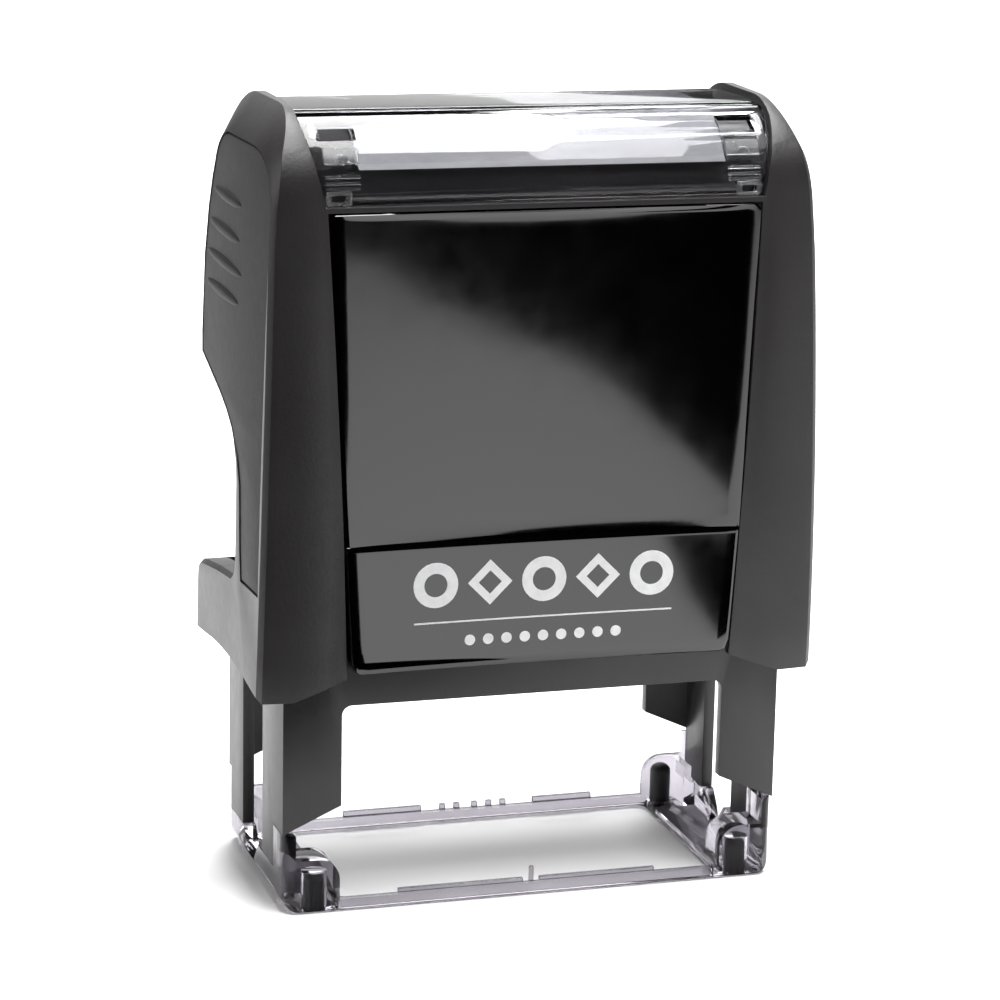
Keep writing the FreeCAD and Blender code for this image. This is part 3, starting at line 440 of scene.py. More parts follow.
FRONT_LOW, FRONT_HIGH = -13.4, -12.95        # cap's front face, at its lower edge and where the crown starts
CROWN_START, CROWN_RADIUS = 71.3, 8.9
REAR_FACE, BLOCK_REAR = 12.9, CAP_HIGH.y
CAP_BOTTOM, CAP_TOP = 22.5, CAP_HIGH.z
CROWN_HALF = 24.5                            # half width of the crown, inside the shoulders
SIDE_TOP = 76.2                              # where the side faces meet the shoulders
SIDE_WIDTHS = [(21.4, 29.03), (29.3, 28.9), (45.0, 28.55), (60.0, 28.1), (68.0, 27.8), (72.5, 27.45),
               (SIDE_TOP, 27.35), (CAP_TOP, 26.6)]
SIDE_FLARE = [(34.0, 0.0), (52.0, 0.55), (60.0, 0.75), (74.0, 0.85), (CAP_TOP, 0.85)]
CHEEK_INNER = [(22.0, 21.2), (38.0, 20.55), (70.5, 22.15), (74.0, 23.0), (78.3, 23.7), (CAP_TOP, CROWN_HALF)]


def between(table, at):
    """Straight-line reading of a table of (place, value)."""
    for (a, low), (b, high) in zip(table, table[1:]):
        if at <= b:
            t = max(0.0, (at - a) / (b - a))
            return low + (high - low) * t
    return table[-1][1]


SIDE_LEVELS = (25.0, 30.0, 36.0, 42.0, 48.0, 54.0, 60.0, 64.0, 68.0, 71.0, 74.0)


def side_half(y, z):
    """The cap's half width: it narrows upwards and flares a little towards the rear."""
    return between(SIDE_WIDTHS, z) + between(SIDE_FLARE, z) * (y + 13.0) / 25.0


def cap_profile():
    """The cap seen along X, clockwise from its lower front edge, as (point, shoulder's inset, shoulder's drop)."""
    front_centre = (FRONT_HIGH + CROWN_RADIUS, CROWN_START)
    rear_centre = (REAR_FACE - CROWN_RADIUS, CROWN_START)
    points = [(p, 0.5, 0.5) for p in bowed((FRONT_HIGH, CROWN_START), (FRONT_LOW, CAP_BOTTOM), 0.9, 12)[::-1]]
    for p in arc(front_centre, CROWN_RADIUS, 180, 90, 14)[1:]:
        rise = (p[1] - CROWN_START) / CROWN_RADIUS
        points.append((p, 0.5 + 3.5 * rise ** 1.3, 0.5 + 1.6 * rise ** 1.5))
    for p in arc(rear_centre, CROWN_RADIUS, 90, 0, 14):
        rise = max(0.0, (p[1] - CROWN_START) / CROWN_RADIUS)
        points.append((p, 3.2 + 0.8 * rise ** 0.5, 1.9 + 0.2 * rise))
    points += [((REAR_FACE, 67.5), 2.4, 1.5), ((REAR_FACE, 63.0), 1.5, 0.9), ((REAR_FACE, 54.6), 0.8, 0.6),
               ((REAR_FACE - 0.3, 52.3), 0.6, 0.5)]
    waist = [(9.0, 51.2), (7.4, 50.6), (4.6, 49.6), (1.9, 48.4), (-0.2, 47.1), (-1.5, 45.7), (-2.3, 44.2),
             (-2.5, 42.6), (-2.5, 39.0), (-2.45, 35.6)]
    fillet = arc((-0.35, 34.5), 2.1, 175, 262, 6)
    shelf = [(5.0, 31.8), (11.2, 30.9)]
    corner = arc((12.5, 28.7), 1.9, 75, 0, 5)
    points += [(p, 0.45, 0.45) for p in waist + fillet + shelf + corner + [(BLOCK_REAR, 22.6)]]
    bottom = bowed((BLOCK_REAR - 0.1, 22.5), (FRONT_LOW + 0.1, CAP_BOTTOM), 1.1, 10)[1:-1]
    return points + [(p, 0.4, 0.4) for p in bottom]


def inward(points):
    """The inward direction at each corner of a closed outline, which runs clockwise."""
    result = []
    total = len(points)
    for i in range(total):
        before, here, after = Vector(points[i - 1]), Vector(points[i]), Vector(points[(i + 1) % total])
        a, b = (here - before).normalized(), (after - here).normalized()
        normal = Vector((a.y, -a.x)) + Vector((b.y, -b.x))
        normal.normalize()
        stretch = 1 / max(0.5, normal.dot(Vector((a.y, -a.x))))
        result.append(normal * stretch)
    return result


def front_bulge(point, share):
    """How far a cheek's front stands out, for a share of the way from its inner to its outer edge."""
    y, z = point
    if y > -8.0:
        return 0.0
    fade = min(1.0, max(0.0, (76.0 - z) / 12.0))
    low = min(1.0, (z - CAP_BOTTOM + 2.0) / 2.0)
    return 0.31 * fade * low * math.sin(math.pi * min(1.0, share ** 0.85))


def side_outline(shrink):
    """The edge of the flat side face seen along X, drawn in by shrink."""
    profile = cap_profile()
    normals = inward([point for point, inset, drop in profile])
    return [(y + n.x * (inset + shrink), z + n.y * (inset + shrink))
            for ((y, z), inset, drop), n in zip(profile, normals)]


def cap_skin():
    """The cap's closed outer skin, before its hollows are cut."""
    profile = cap_profile()
    face_outline = side_outline(0.0)
    bm = bmesh.new()
    shares = [0.0, 0.15, 0.3, 0.45, 0.6, 0.75, 0.88, 1.0]
    columns = []
    for side in (-1, 1):
        rows = []
        for share in shares:
            row = []
            for (y, z), inset, drop in profile:
                outer = side_half(y, z) - drop
                inner = min(between(CHEEK_INNER, z), outer - 0.02)
                x = inner + (outer - inner) * share
                row.append(bm.verts.new((side * x, y - front_bulge((y, z), share), z)))
            rows.append(row)
        rows.append([bm.verts.new((side * side_half(y, z), y, z)) for y, z in face_outline])
        columns.append(rows)
    left, right = columns
    order = left[::-1] + right
    total = len(profile)
    for first, second in zip(order, order[1:]):
        for i in range(total):
            j = (i + 1) % total
            bm.faces.new((first[i], first[j], second[j], second[i]))
    bm.faces.new(order[0])
    bm.faces.new(order[-1])
    for z in SIDE_LEVELS:
        geometry = bm.verts[:] + bm.edges[:] + bm.faces[:]
        bmesh.ops.bisect_plane(bm, geom=geometry, plane_co=(0, 0, z), plane_no=(0, 0, 1), dist=0.0001)
    for v in bm.verts:
        half = side_half(v.co.y, v.co.z)
        if abs(v.co.x) > half - 0.02:
            v.co.x = math.copysign(half, v.co.x)
    bmesh.ops.triangulate(bm, faces=bm.faces)
    bmesh.ops.recalc_face_normals(bm, faces=bm.faces)
    return to_object("cap_shell", bm)


def crown_loop(inset, low, steps=12):
    """The area under the crown, inset from it, down to low."""
    radius = CROWN_RADIUS - inset
    front = arc((FRONT_HIGH + CROWN_RADIUS, CROWN_START), radius, 180, 90, steps)
    rear = arc((REAR_FACE - CROWN_RADIUS, CROWN_START), radius, 90, 0, steps)
    return [(front[0][0], low)] + front + rear + [(rear[-1][0], low)]


def panel_edge(gap, low):
    """The opening for the front panel, seen along Y."""
    return [(-19.7 - gap, low), (19.7 + gap, low), (20.4 + gap, 38.0), (22.0 + gap, 70.5 + gap),
            (-22.0 - gap, 70.5 + gap), (-20.4 - gap, 38.0)]


def beyond(outline, axis, level):
    """The part of an outline on the high side of a level."""
    kept = []
    for a, b in zip(outline, outline[1:] + outline[:1]):
        if a[axis] >= level:
            kept.append(a)
        if (a[axis] - level) * (b[axis] - level) < 0:
            t = (level - a[axis]) / (b[axis] - a[axis])
            kept.append(tuple(Vector(a).lerp(Vector(b), t)))
    return kept


def grip_edge(gap):
    """The soft side grip seen along X: it fills the side face, and stops short of the waist lower down."""
    front = -12.8 + gap
    upper = beyond(beyond(side_outline(gap), 1, 46.4), 0, front)[:-1]
    return upper + [(-3.1 - gap, 45.0), (-4.2 - gap, 42.4), (-4.7 - gap, 36.0), (-5.3 - gap, 32.9 + gap),
                    (front, 33.2 + gap)]


def cap_hollows():
    """Everything that is cut out of the cap."""
    wall, back, far = 26.25, 12.25, 31.0
    front_wall = -12.3
    bed = 2.2
    window = REAR_HIGH.x + 0.1
    hollows = [
        cutter(rectangle(-wall, wall, -12.6, 12.6), "Z", 18.0, 34.0),
        cutter(rectangle(-wall, wall, front_wall, back), "Z", 33.0, 70.0),
        cutter(crown_loop(bed + 1.2, 64.0), "X", -24.4, 24.4),
        cutter(panel_edge(0.1, 20.0), "Y", -17.0, front_wall + 0.5),
        cutter([(-21.1, 24.0), (-25.9, 22.3), (-31.0, 22.3), (-31.0, 17.0), (31.0, 17.0), (31.0, 22.3),
                (25.9, 22.3), (21.1, 24.0), (19.0, 24.9), (-19.0, 24.9)], "Y", -17.0, -12.0),
        cutter(rectangle(-21.4, 21.4, 30.5, 59.8), "Y", 8.0, 17.0),
        cutter(rectangle(-window, window, 59.0, CROWN_START - 1.6), "Y", 11.0, 17.0),
        cutter(grip_edge(-0.05), "X", 27.0, far),
        cutter(grip_edge(-0.05), "X", -far, -27.0),
        cutter(rectangle(-3.5, 3.5, 24.5, 27.7), "Y", 12.0, 17.0),
        cutter(rectangle(-4.1, 4.1, 24.1, 28.1), "Y", 12.0, 13.5),
    ]
    return hollows


def cover_bay():
    """The band over the card that the clear cover fills, which widens towards the crown."""
    bm = bmesh.new()
    band(bm, crown_loop(-2.0, CROWN_START - 0.2), crown_loop(2.2, CROWN_START - 0.2),
         lambda z: cover_half(z) + 0.12)
    bmesh.ops.triangulate(bm, faces=bm.faces)
    return to_object("cutter", bm)


def make_cap():
    skin = cap_skin()
    carve(skin, cap_hollows() + [cover_bay()])
    tidy(skin, 0.01, 0.3)
    soften(skin, 0.22, 3, 28.0)
    finish_piece(skin, "cap", CAP_BLACK, "black_cap", "cap_housing")


# ---------------------------------------------------------------- the glossy front panel

def panel_half(z):
    """The panel's half width at a height, with its rounded lower corners."""
    corner = 1.2
    low, high = PANEL_LOW.z, PANEL_HIGH.z
    if z < low + corner:
        drop = low + corner - z
        return 19.7 - corner + math.sqrt(max(0.0, corner * corner - drop * drop))
    if z < 38.0:
        return 19.7 + 0.7 * (z - low - corner) / (38.0 - low - corner)
    top = 20.4 + 1.6 * (z - 38.0) / (high - 38.0)
    if z > high - 0.9:
        rise = z - (high - 0.9)
        return top - 0.9 + math.sqrt(max(0.0, 0.81 - rise * rise))
    return top


PANEL_RIM = 0.45                             # flat rim beside the hollow


def panel_hollow(x, half):
    """Depth of the hollow across the panel, as a share."""
    reach = half - PANEL_RIM
    t = min(1.0, abs(x) / reach)
    return 1 - t * t


def panel_row(z, base, depth, rim):
    """One row of points across the panel's face."""
    half = panel_half(z)
    flat = half - PANEL_RIM
    row = []
    steps = 40
    for k in range(steps + 1):
        x = -flat + 2 * flat * k / steps
        row.append((x, base + depth * panel_hollow(x, half), z))
    edge = [(half - rim, 0.01), (half - rim * 0.4, rim * 0.25), (half, rim)]
    left = [(-x, base + drop, z) for x, drop in edge[::-1]]
    right = [(x, base + drop, z) for x, drop in edge]
    return left + row + right


def make_panel():
    front = PANEL_LOW.y
    back = PANEL_HIGH.y
    low, high, step = PANEL_LOW.z, PANEL_HIGH.z, 38.0
    label_depth, deep = 0.42, 1.25
    rows = [panel_row(low, front + 0.5, label_depth, 0.35), panel_row(low + 0.1, front + 0.2, label_depth, 0.35),
            panel_row(low + 0.35, front + 0.03, label_depth, 0.35)]
    for i in range(1, 13):
        rows.append(panel_row(low + 0.35 + (step - 0.5 - low) * i / 12.5, front, label_depth, 0.35))
    rows.append(panel_row(step - 0.03, front, label_depth, 0.35))
    rows.append(panel_row(step, front + 0.02, label_depth, 0.35))
    rows.append(panel_row(step + 0.03, front + 0.14, deep * 0.97, 0.15))
    rows.append(panel_row(step + 0.25, front + 0.14, deep, 0.15))
    lean = (FRONT_HIGH - 0.15) - (front + 0.14)
    top_deep = 0.62

    def upper_row(z, fill):
        rise = (z - step) / (high - step)
        return panel_row(z, front + 0.14 + lean * rise, (deep + (top_deep - deep) * rise) * fill, 0.15)

    count = 26
    for i in range(1, count + 1):
        rows.append(upper_row(step + 0.25 + (high - 1.05 - step) * i / count, 1.0))
    for i in range(1, 6):
        rows.append(upper_row(high - 0.8 + 0.65 * i / 5, 1 - 0.6 * (i / 5) ** 2))
    rows.append(panel_row(high - 0.06, front + 0.14 + lean + 0.08, top_deep * 0.3, 0.15))
    rows.append(panel_row(high, front + 0.14 + lean + 0.35, 0.0, 0.15))
    bm = bmesh.new()
    grid = [[bm.verts.new(p) for p in row] for row in rows]
    for lower, upper in zip(grid, grid[1:]):
        for k in range(len(lower) - 1):
            bm.faces.new((lower[k], lower[k + 1], upper[k + 1], upper[k]))
    loop = grid[0] + [row[-1] for row in grid[1:]] + grid[-1][-2::-1] + [row[0] for row in grid[-2:0:-1]]
    behind = [bm.verts.new((v.co.x, back, v.co.z)) for v in loop]
    for i in range(len(loop)):
        j = (i + 1) % len(loop)
        bm.faces.new((loop[i], behind[i], behind[j], loop[j]))
    bm.faces.new(behind)
    bmesh.ops.recalc_face_normals(bm, faces=bm.faces)
    panel = to_object("gloss_panel", bm, 40.0)
    finish_piece(panel, "cap", GLOSS_BLACK, "gloss_black", "front_panel")


def label_front(x):
    """The label plate's front, where the print lies."""
    return PANEL_LOW.y + 0.42 * panel_hollow(x, 20.0)


def make_print():
    """A plain mark in place of the maker's: a row of simple shapes over a thin line, with dots under it."""
    bm = bmesh.new()
    thickness = 0.03
    top, bottom = 36.0, 31.4
    middle = (top + bottom) / 2
    radius = (top - bottom) / 2
    shapes = []
    for k, x in enumerate((-11.2, -5.6, 0.0, 5.6, 11.2)):
        kind = k % 2
        outline = arc((x, middle), radius, 0, 360, 28)[:-1] if kind == 0 else \
            [(x + radius, middle), (x, middle + radius), (x - radius, middle), (x, middle - radius)]
        hole = radius * 0.52
        inner = arc((x, middle), hole, 0, 360, 28)[:-1] if kind == 0 else \
            [(x + hole, middle), (x, middle + hole), (x - hole, middle), (x, middle - hole)]
        shapes.append((outline, inner))
    for outline, inner in shapes:
        outer_ring = [bm.verts.new((x, label_front(x) - thickness, z)) for x, z in outline]
        inner_ring = [bm.verts.new((x, label_front(x) - thickness, z)) for x, z in inner]
        for i in range(len(outline)):
            j = (i + 1) % len(outline)
            bm.faces.new((outer_ring[i], outer_ring[j], inner_ring[j], inner_ring[i]))
    line_z, half_line = 29.8, 13.4
    steps = 24
    for k in range(steps):
        a = -half_line + 2 * half_line * k / steps
        b = -half_line + 2 * half_line * (k + 1) / steps
        quad = [(a, line_z), (b, line_z), (b, line_z + 0.16), (a, line_z + 0.16)]
        bm.faces.new([bm.verts.new((x, label_front(x) - thickness, z)) for x, z in quad])
    for k in range(9):
        x = -7.6 + 1.9 * k
        dot = arc((x, 27.9), 0.55, 0, 360, 16)[:-1]
        bm.faces.new([bm.verts.new((u, label_front(x) - thickness, v)) for u, v in dot])
    bmesh.ops.remove_doubles(bm, verts=bm.verts, dist=0.001)
    back = bmesh.ops.extrude_face_region(bm, geom=bm.faces[:])
    for item in back["geom"]:
        if isinstance(item, bmesh.types.BMVert):
            item.co.y += thickness + 0.02
    bmesh.ops.recalc_face_normals(bm, faces=bm.faces)
    mark = to_object("printed_mark", bm)
    finish_piece(mark, "cap", WHITE_PRINT, "card")


# ---------------------------------------------------------------- the clear cover and the card

COVER_INSET = 0.6
COVER_WALL = 1.0


def cover_half(z):
    """The cover's half width, which grows towards the crown."""
    rise = min(1.0, max(0.0, (z - CROWN_START) / CROWN_RADIUS))
    return 22.2 + 2.0 * rise


def crown_path(inset, groove=0.0):
    """The crown from front to rear as (y, z), with a shallow groove across it just before its flat top."""
    radius = CROWN_RADIUS - inset
    grooved = [(angle, 0.0) for angle in range(180, 104, -5)]
    grooved += [(103.6, 0.0), (103.4, groove), (101.4, groove), (101.2, 0.0), (97.0, 0.0), (90.0, 0.0)]
    front_y, rear_y = FRONT_HIGH + CROWN_RADIUS, REAR_FACE - CROWN_RADIUS
    path = []
    for angle, depth in grooved:
        a = math.radians(angle)
        path.append((front_y + (radius - depth) * math.cos(a), CROWN_START + (radius - depth) * math.sin(a)))
    return path + arc((rear_y, CROWN_START), radius, 90, 0, 18)


NOTCH_HEIGHTS = (77.1, 78.1)
TAB_HEIGHTS = (75.1, 76.5)


def make_cover():
    bm = bmesh.new()
    shares = (-1.0, -0.86, -0.5, 0.0, 0.5, 0.86, 1.0)
    band(bm, crown_path(COVER_INSET, 0.3), crown_path(COVER_INSET + COVER_WALL), cover_half, shares)
    cover = to_object("top_cover", bm, 30.0)
    openings = []
    for low, high in ((18.6, 22.2), (-22.2, -18.6)):
        openings.append(cutter(rectangle(low, high, *NOTCH_HEIGHTS), "Y", -15.0, 0.0))
    for low, high in ((20.0, 21.7), (-21.7, -20.0)):
        openings.append(cutter(rectangle(low, high, 71.5, 72.2), "Y", -15.0, -10.0))
    carve(cover, openings)
    tidy(cover, 0.005, 0.5)
    soften(cover, 0.1, 2, 40.0, 30.0)
    finish_piece(cover, "cap", COVER_CLEAR, "clear_cover", "clear_cover")


def crown_stretch(inset, low, high, steps=6):
    """The crown's front between two heights."""
    radius = CROWN_RADIUS - inset
    angles = [180 - math.degrees(math.asin((z - CROWN_START) / radius)) for z in (low, high)]
    return arc((FRONT_HIGH + CROWN_RADIUS, CROWN_START), radius, angles[0], angles[1], steps)


def make_clips():
    """The moulded ends of the clear cover: a tab with a half-round boss under a notch, and a snap frame."""
    for side in (-1, 1):
        ends = sorted((side * 18.7, side * 22.1))
        bm = bmesh.new()
        band(bm, crown_stretch(0.48, *TAB_HEIGHTS), crown_stretch(0.9, *TAB_HEIGHTS), lambda z: 1.0, ends)
        boss = (side * 20.4, TAB_HEIGHTS[0] + 0.1)
        prism(bm, arc(boss, 0.75, 0, 180, 14) + arc(boss, 0.6, 180, 0, 14), "Y", -11.5, -10.6)
        for height in (73.9, 73.3, 72.8):
            band(bm, crown_stretch(0.55, height - 0.12, height + 0.12), crown_stretch(0.8, height - 0.12, height + 0.12),
                 lambda z: 1.0, ends)
        clip = to_object("cover_tab_%s" % ("left" if side < 0 else "right"), bm)
        finish_piece(clip, "cap", CLIP_CLEAR, "clear_cover")
        ends = sorted((side * 19.6, side * 22.1))
        bm = bmesh.new()
        prism(bm, rounded(ends[0], ends[1], 71.2, 72.6, 0.25), "Y", -12.5, -12.2)
        frame_piece = to_object("snap_frame_%s" % ("left" if side < 0 else "right"), bm)
        hole = cutter(rounded(ends[0] + 0.45, ends[1] - 0.45, 71.55, 72.2, 0.15), "Y", -13.0, -12.0)
        carve(frame_piece, [hole])
        soften(frame_piece, 0.08, 2)
        finish_piece(frame_piece, "cap", CLIP_CLEAR, "clear_cover")


def make_card():
    """The printed card's blank sheet, which follows the crown under the cover."""
    inset = COVER_INSET + COVER_WALL + 0.12
    outer = crown_path(inset)
    inner = crown_path(inset + 0.25)
    outer, inner = [[(path[0][0], CARD_LOW.z)] + [p for p in path[1:-1] if p[1] > CARD_LOW.z]
                    + [(path[-1][0], CARD_LOW.z)] for path in (outer, inner)]
    bm = bmesh.new()
    band(bm, outer, inner, lambda z: CARD_HIGH.x)
    card = to_object("card_sheet", bm, 50.0)
    finish_piece(card, "cap", CARD_PAPER, "card", "index_card")


# ---------------------------------------------------------------- grips

RIDGES = [((8.9, 70.1), (-1.8, 69.7)), ((10.0, 66.8), (-1.9, 66.2)), ((10.6, 63.6), (-3.2, 63.0)),
          ((10.6, 60.5), (-2.3, 60.1))]


def make_grip(side):
    """The soft side grip, with four low bars near its top."""
    name = "left" if side < 0 else "right"
    bm = bmesh.new()
    low, high = sorted((side * 27.05, side * 31.0))
    prism(bm, grip_edge(0.08), "X", low, high)
    for z in SIDE_LEVELS:
        geometry = bm.verts[:] + bm.edges[:] + bm.faces[:]
        bmesh.ops.bisect_plane(bm, geom=geometry, plane_co=(0, 0, z), plane_no=(0, 0, 1), dist=0.0001)
    for v in bm.verts:
        if abs(v.co.x) > 30:
            v.co.x = side * (side_half(v.co.y, v.co.z) - 0.1)
    grip = to_object(name + "_side_grip", bm)
    soften(grip, 0.3, 3, 40.0)
    finish_piece(grip, "cap", SOFT_BLACK, "soft_grip", name + "_grip")
    bm = bmesh.new()
    for start, end in RIDGES:
        ridge(bm, start, end, side)
    ridges = to_object(name + "_grip_ridges", bm, 60.0)
    finish_piece(ridges, "cap", SOFT_BLACK, "soft_grip")


def ridge(bm, start, end, side):
    """A low rounded bar that tapers into the grip at both ends."""
    steps, arcs = 14, 8
    along = Vector(end) - Vector(start)
    across = Vector((-along.y, along.x)).normalized()
    rings = []
    for i in range(steps + 1):
        t = i / steps
        fullness = math.sin(math.pi * t) ** 0.45 if 0 < t < 1 else 0.03
        width, height = 0.62 * fullness, 0.34 * fullness
        centre = Vector(start) + along * t
        ring = []
        for k in range(arcs + 1):
            angle = math.pi * k / arcs
            place = centre + across * (width * math.cos(angle))
            x = side_half(place.x, place.y) - 0.14 + height * math.sin(angle)
            ring.append(bm.verts.new((side * x, place.x, place.y)))
        rings.append(ring)
    for first, second in zip(rings, rings[1:]):
        for k in range(arcs):
            bm.faces.new((first[k], first[k + 1], second[k + 1], second[k]))
        bm.faces.new((first[arcs], first[0], second[0], second[arcs]))
    bm.faces.new(rings[0])
    bm.faces.new(rings[-1])
    bmesh.ops.recalc_face_normals(bm, faces=bm.faces)


# ---------------------------------------------------------------- small parts

def make_plug(name):
    low, high = box_mm(name)
    centre = ((low.x + high.x) / 2, (low.y + high.y) / 2, 0.0)
    radius = (high.x - low.x) / 2
    top = high.z
    dome = arc((0.0, top - 0.9), 0.9, 0, 85, 6)
    outline = [(radius - 0.15, 0.0), (radius, 0.15)]
    outline += [(radius * u / 0.9, v) for u, v in dome]
    bm = bmesh.new()
    lathe(bm, outline, centre)
    plug = to_object(name + "_domed", bm)
    finish_piece(plug, "frame", PLUG_BLACK, "plug_rubber", name)


def make_spring():
    """A helix of round wire between the deck and the bow."""
    wire, turns, steps, sides = 0.45, 7.0, 34, 10
    radius = 3.9
    low, high = SPRING_LOW.z + wire, SPRING_HIGH.z - wire
    bm = bmesh.new()
    total = int(turns * steps)
    rings = []
    for i in range(total + 1):
        t = i / total
        angle = 2 * math.pi * turns * t
        height = low + (high - low) * t
        out = Vector((math.cos(angle), math.sin(angle), 0))
        centre = out * radius + Vector((0, 0, height))
        ring = []
        for k in range(sides):
            a = 2 * math.pi * k / sides
            ring.append(bm.verts.new(centre + out * (wire * math.cos(a)) + Vector((0, 0, wire * math.sin(a)))))
        rings.append(ring)
    for first, second in zip(rings, rings[1:]):
        for k in range(sides):
            j = (k + 1) % sides
            bm.faces.new((first[k], first[j], second[j], second[k]))
    bm.faces.new(rings[0])
    bm.faces.new(rings[-1])
    bmesh.ops.recalc_face_normals(bm, faces=bm.faces)
    spring = to_object("wire_spring", bm)
    finish_piece(spring, "frame", SPRING_STEEL, "spring_steel", "return_spring")
    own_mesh(spring)


def make_ink_pad():
    """The ink pad: a crowned felt block, soft at its edges."""
    bm = bmesh.new()
    nx, ny = 44, 20
    low, high = PAD_LOW, PAD_HIGH
    layers = []
    for z, crown in ((high.z, 0.0), (low.z, 0.12)):
        layer = []
        for i in range(nx + 1):
            row = []
            for j in range(ny + 1):
                u, v = 2 * i / nx - 1, 2 * j / ny - 1
                edge = (1 - abs(u) ** 14) * (1 - abs(v) ** 8)
                lift = crown * (1 - edge)
                x, y = low.x + (high.x - low.x) * i / nx, low.y + (high.y - low.y) * j / ny
                row.append(bm.verts.new((x, y, z + lift)))
            layer.append(row)
        layers.append(layer)
    for layer in layers:
        for i in range(nx):
            for j in range(ny):
                bm.faces.new((layer[i][j], layer[i + 1][j], layer[i + 1][j + 1], layer[i][j + 1]))
    top, bottom = layers
    rim = [(i, 0) for i in range(nx)] + [(nx, j) for j in range(ny)]
    rim += [(i, ny) for i in range(nx, 0, -1)] + [(0, j) for j in range(ny, 0, -1)]
    for (a, b), (c, d) in zip(rim, rim[1:] + rim[:1]):
        bm.faces.new((top[a][b], top[c][d], bottom[c][d], bottom[a][b]))
    bmesh.ops.recalc_face_normals(bm, faces=bm.faces)
    pad = to_object("felt_pad", bm)
    finish_piece(pad, "cartridge", PAD_FELT, "pad_felt", "ink_pad")


def make_small_parts():
    softened("foot", "frame", FOOT_CLEAR, "smoked_clear", 0.18, 2)
    softened("inner_frame", "frame", FRAME_BLACK, "black_frame", 0.22, 2)
    softened("cartridge_tray", "cartridge", FRAME_BLACK, "black_frame", 0.2)
    softened("rear_panel", "cap", GLOSS_BLACK, "gloss_black", 0.15)
    softened("carrier_bow", "cap", FRAME_BLACK, "black_frame", 0.25)
    softened("left_axle_pin", "cap", PIN_GREY, "pin_plastic", 0.12)
    softened("right_axle_pin", "cap", PIN_GREY, "pin_plastic", 0.12)
    softened("lock_button", "lock_button", BUTTON_GREY, "button_plastic", 0.18)
    softened("platen", "platen", FRAME_BLACK, "black_frame", 0.2)
    softened("rubber_die", "platen", DIE_RUBBER, "die_rubber", 0.06, 1)
    foam_sheet = softened("die_foam", "platen", DIE_FOAM, "foam", 0.12)
    for name in ("foot_plug_front_left", "foot_plug_front_right", "foot_plug_rear_left", "foot_plug_rear_right"):
        make_plug(name)


# ---------------------------------------------------------------- the studio

AZIMUTH, ELEVATION, ROLL = 17.276, 13.697, 1.149      # degrees
DISTANCE, LENS = 358.0, 126.0
TARGET = Vector((-0.494, -0.3, 38.468))


def make_camera():
    a, e, r = (math.radians(angle) for angle in (AZIMUTH, ELEVATION, ROLL))
    back = Vector((-math.sin(a) * math.cos(e), -math.cos(a) * math.cos(e), math.sin(e)))
    level = Vector((math.cos(a), -math.sin(a), 0))
    up = back.cross(level)
    right = level * math.cos(r) + up * math.sin(r)
    top = up * math.cos(r) - level * math.sin(r)
    data = bpy.data.cameras.new("camera")
    data.lens, data.sensor_width = LENS, 36.0
    data.clip_start, data.clip_end = 0.01, 20.0
    camera = bpy.data.objects.new("camera", data)
    scene.collection.objects.link(camera)
    camera.location = (TARGET + back * DISTANCE) * MM
    camera.rotation_euler = Matrix((right, top, back)).transposed().to_euler()
    scene.camera = camera


def area_light(name, place, target, width, height, power, colour=(1.0, 1.0, 1.0)):
    data = bpy.data.lights.new(name, "AREA")
    data.shape = "RECTANGLE"
    data.size, data.size_y = width, height
    data.energy, data.color = power, colour
    light = bpy.data.objects.new(name, data)
    scene.collection.objects.link(light)
    light.location = place
    light.rotation_euler = (Vector(target) - Vector(place)).to_track_quat("-Z", "Y").to_euler()
    return light


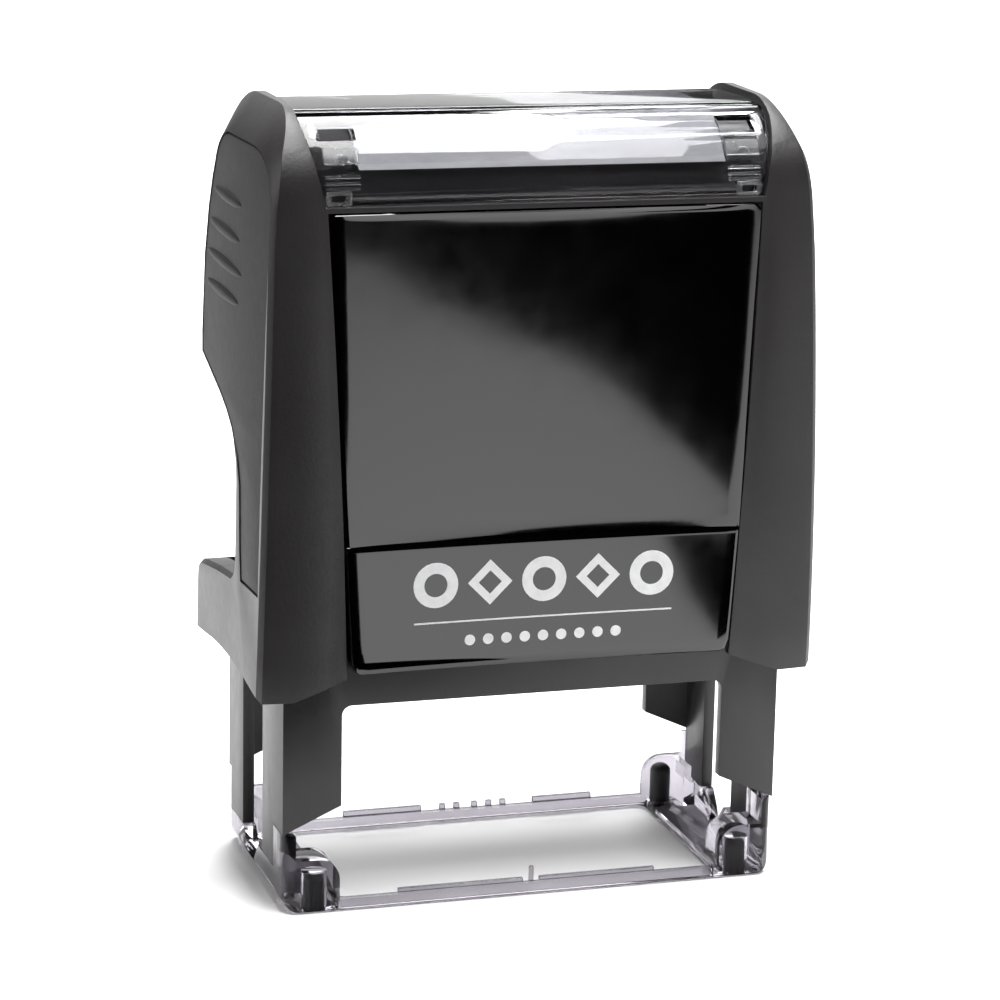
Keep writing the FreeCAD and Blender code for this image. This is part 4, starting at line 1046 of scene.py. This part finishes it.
def floor_material():
    """Pale satin floor that glows a little, as a lit studio table does."""
    m = Nodes("pale_floor")
    m.colour(m.noise(3.0), (0.3, (0.90, 0.90, 0.905)), (0.7, (0.93, 0.93, 0.935)))
    m.roughness(m.noise(8.0), 0.6, 0.7)
    m.bump(m.noise(300.0), 0.03, 0.0002)
    m.set(Emission_Color=(1.0, 1.0, 1.0, 1.0), Emission_Strength=0.05)
    return m.material


def make_floor():
    bm = bmesh.new()
    bmesh.ops.create_grid(bm, x_segments=8, y_segments=8, size=4000.0)
    floor = to_object("floor", bm)
    floor.data.materials.append(floor_material())


def make_flags():
    """Black studio cards on the table in front, out of the picture, which keep parts of the panel dark."""
    m = Nodes("black_flag")
    m.colour(m.noise(20.0), (0.3, (0.001, 0.001, 0.001)), (0.7, (0.0015, 0.0015, 0.0015)))
    m.set(Roughness=1.0, Specular_IOR_Level=0.0)
    large = [(8, -40), (8, -105), (20, -150), (36, -200), (40, -250), (58, -266), (74, -283), (110, -345),
             (146, -430), (191, -552), (1600, -3950), (-3900, -3950), (-3900, -40)]
    small = [(56, -157), (52, -140), (48, -124), (43, -95), (90, -82), (110, -157)]
    bm = bmesh.new()
    for edge in (large, small):
        bm.faces.new([bm.verts.new((x, y, 1.0)) for x, y in edge])
    flags = to_object("black_flags", bm)
    flags.data.materials.append(m.material)
    flags.visible_camera = False
    flags.visible_shadow = False
    flags.visible_transmission = False


def make_studio():
    make_camera()
    make_floor()
    make_flags()
    area_light("left_softbox", (-0.80, 0.05, 0.28), (0, 0, 0.03), 0.7, 0.5, 2.5)
    area_light("top_softbox", (0.10, 0.0, 0.9), (0, 0, 0.0), 1.2, 0.42, 25.0)
    area_light("far_softbox", (0.10, 1.00, 0.60), (0.1, 1.0, 0.0), 1.2, 0.4, 6.6)
    area_light("back_softbox", (0.35, 1.25, 0.42), (0, 0, 0.06), 1.4, 0.55, 2.6)
    world = bpy.data.worlds.new("studio")
    scene.world = world
    world.use_nodes = True
    background = world.node_tree.nodes["Background"]
    background.inputs["Color"].default_value = (1.0, 1.0, 1.0, 1.0)
    background.inputs["Strength"].default_value = 0.01
    scene.view_settings.view_transform = "Standard"
    scene.view_settings.look = "None"


make_cap()
make_panel()
make_print()
make_cover()
make_clips()
make_card()
make_grip(-1)
make_grip(1)
make_small_parts()
make_spring()
make_ink_pad()
make_studio()

bpy.context.view_layer.update()
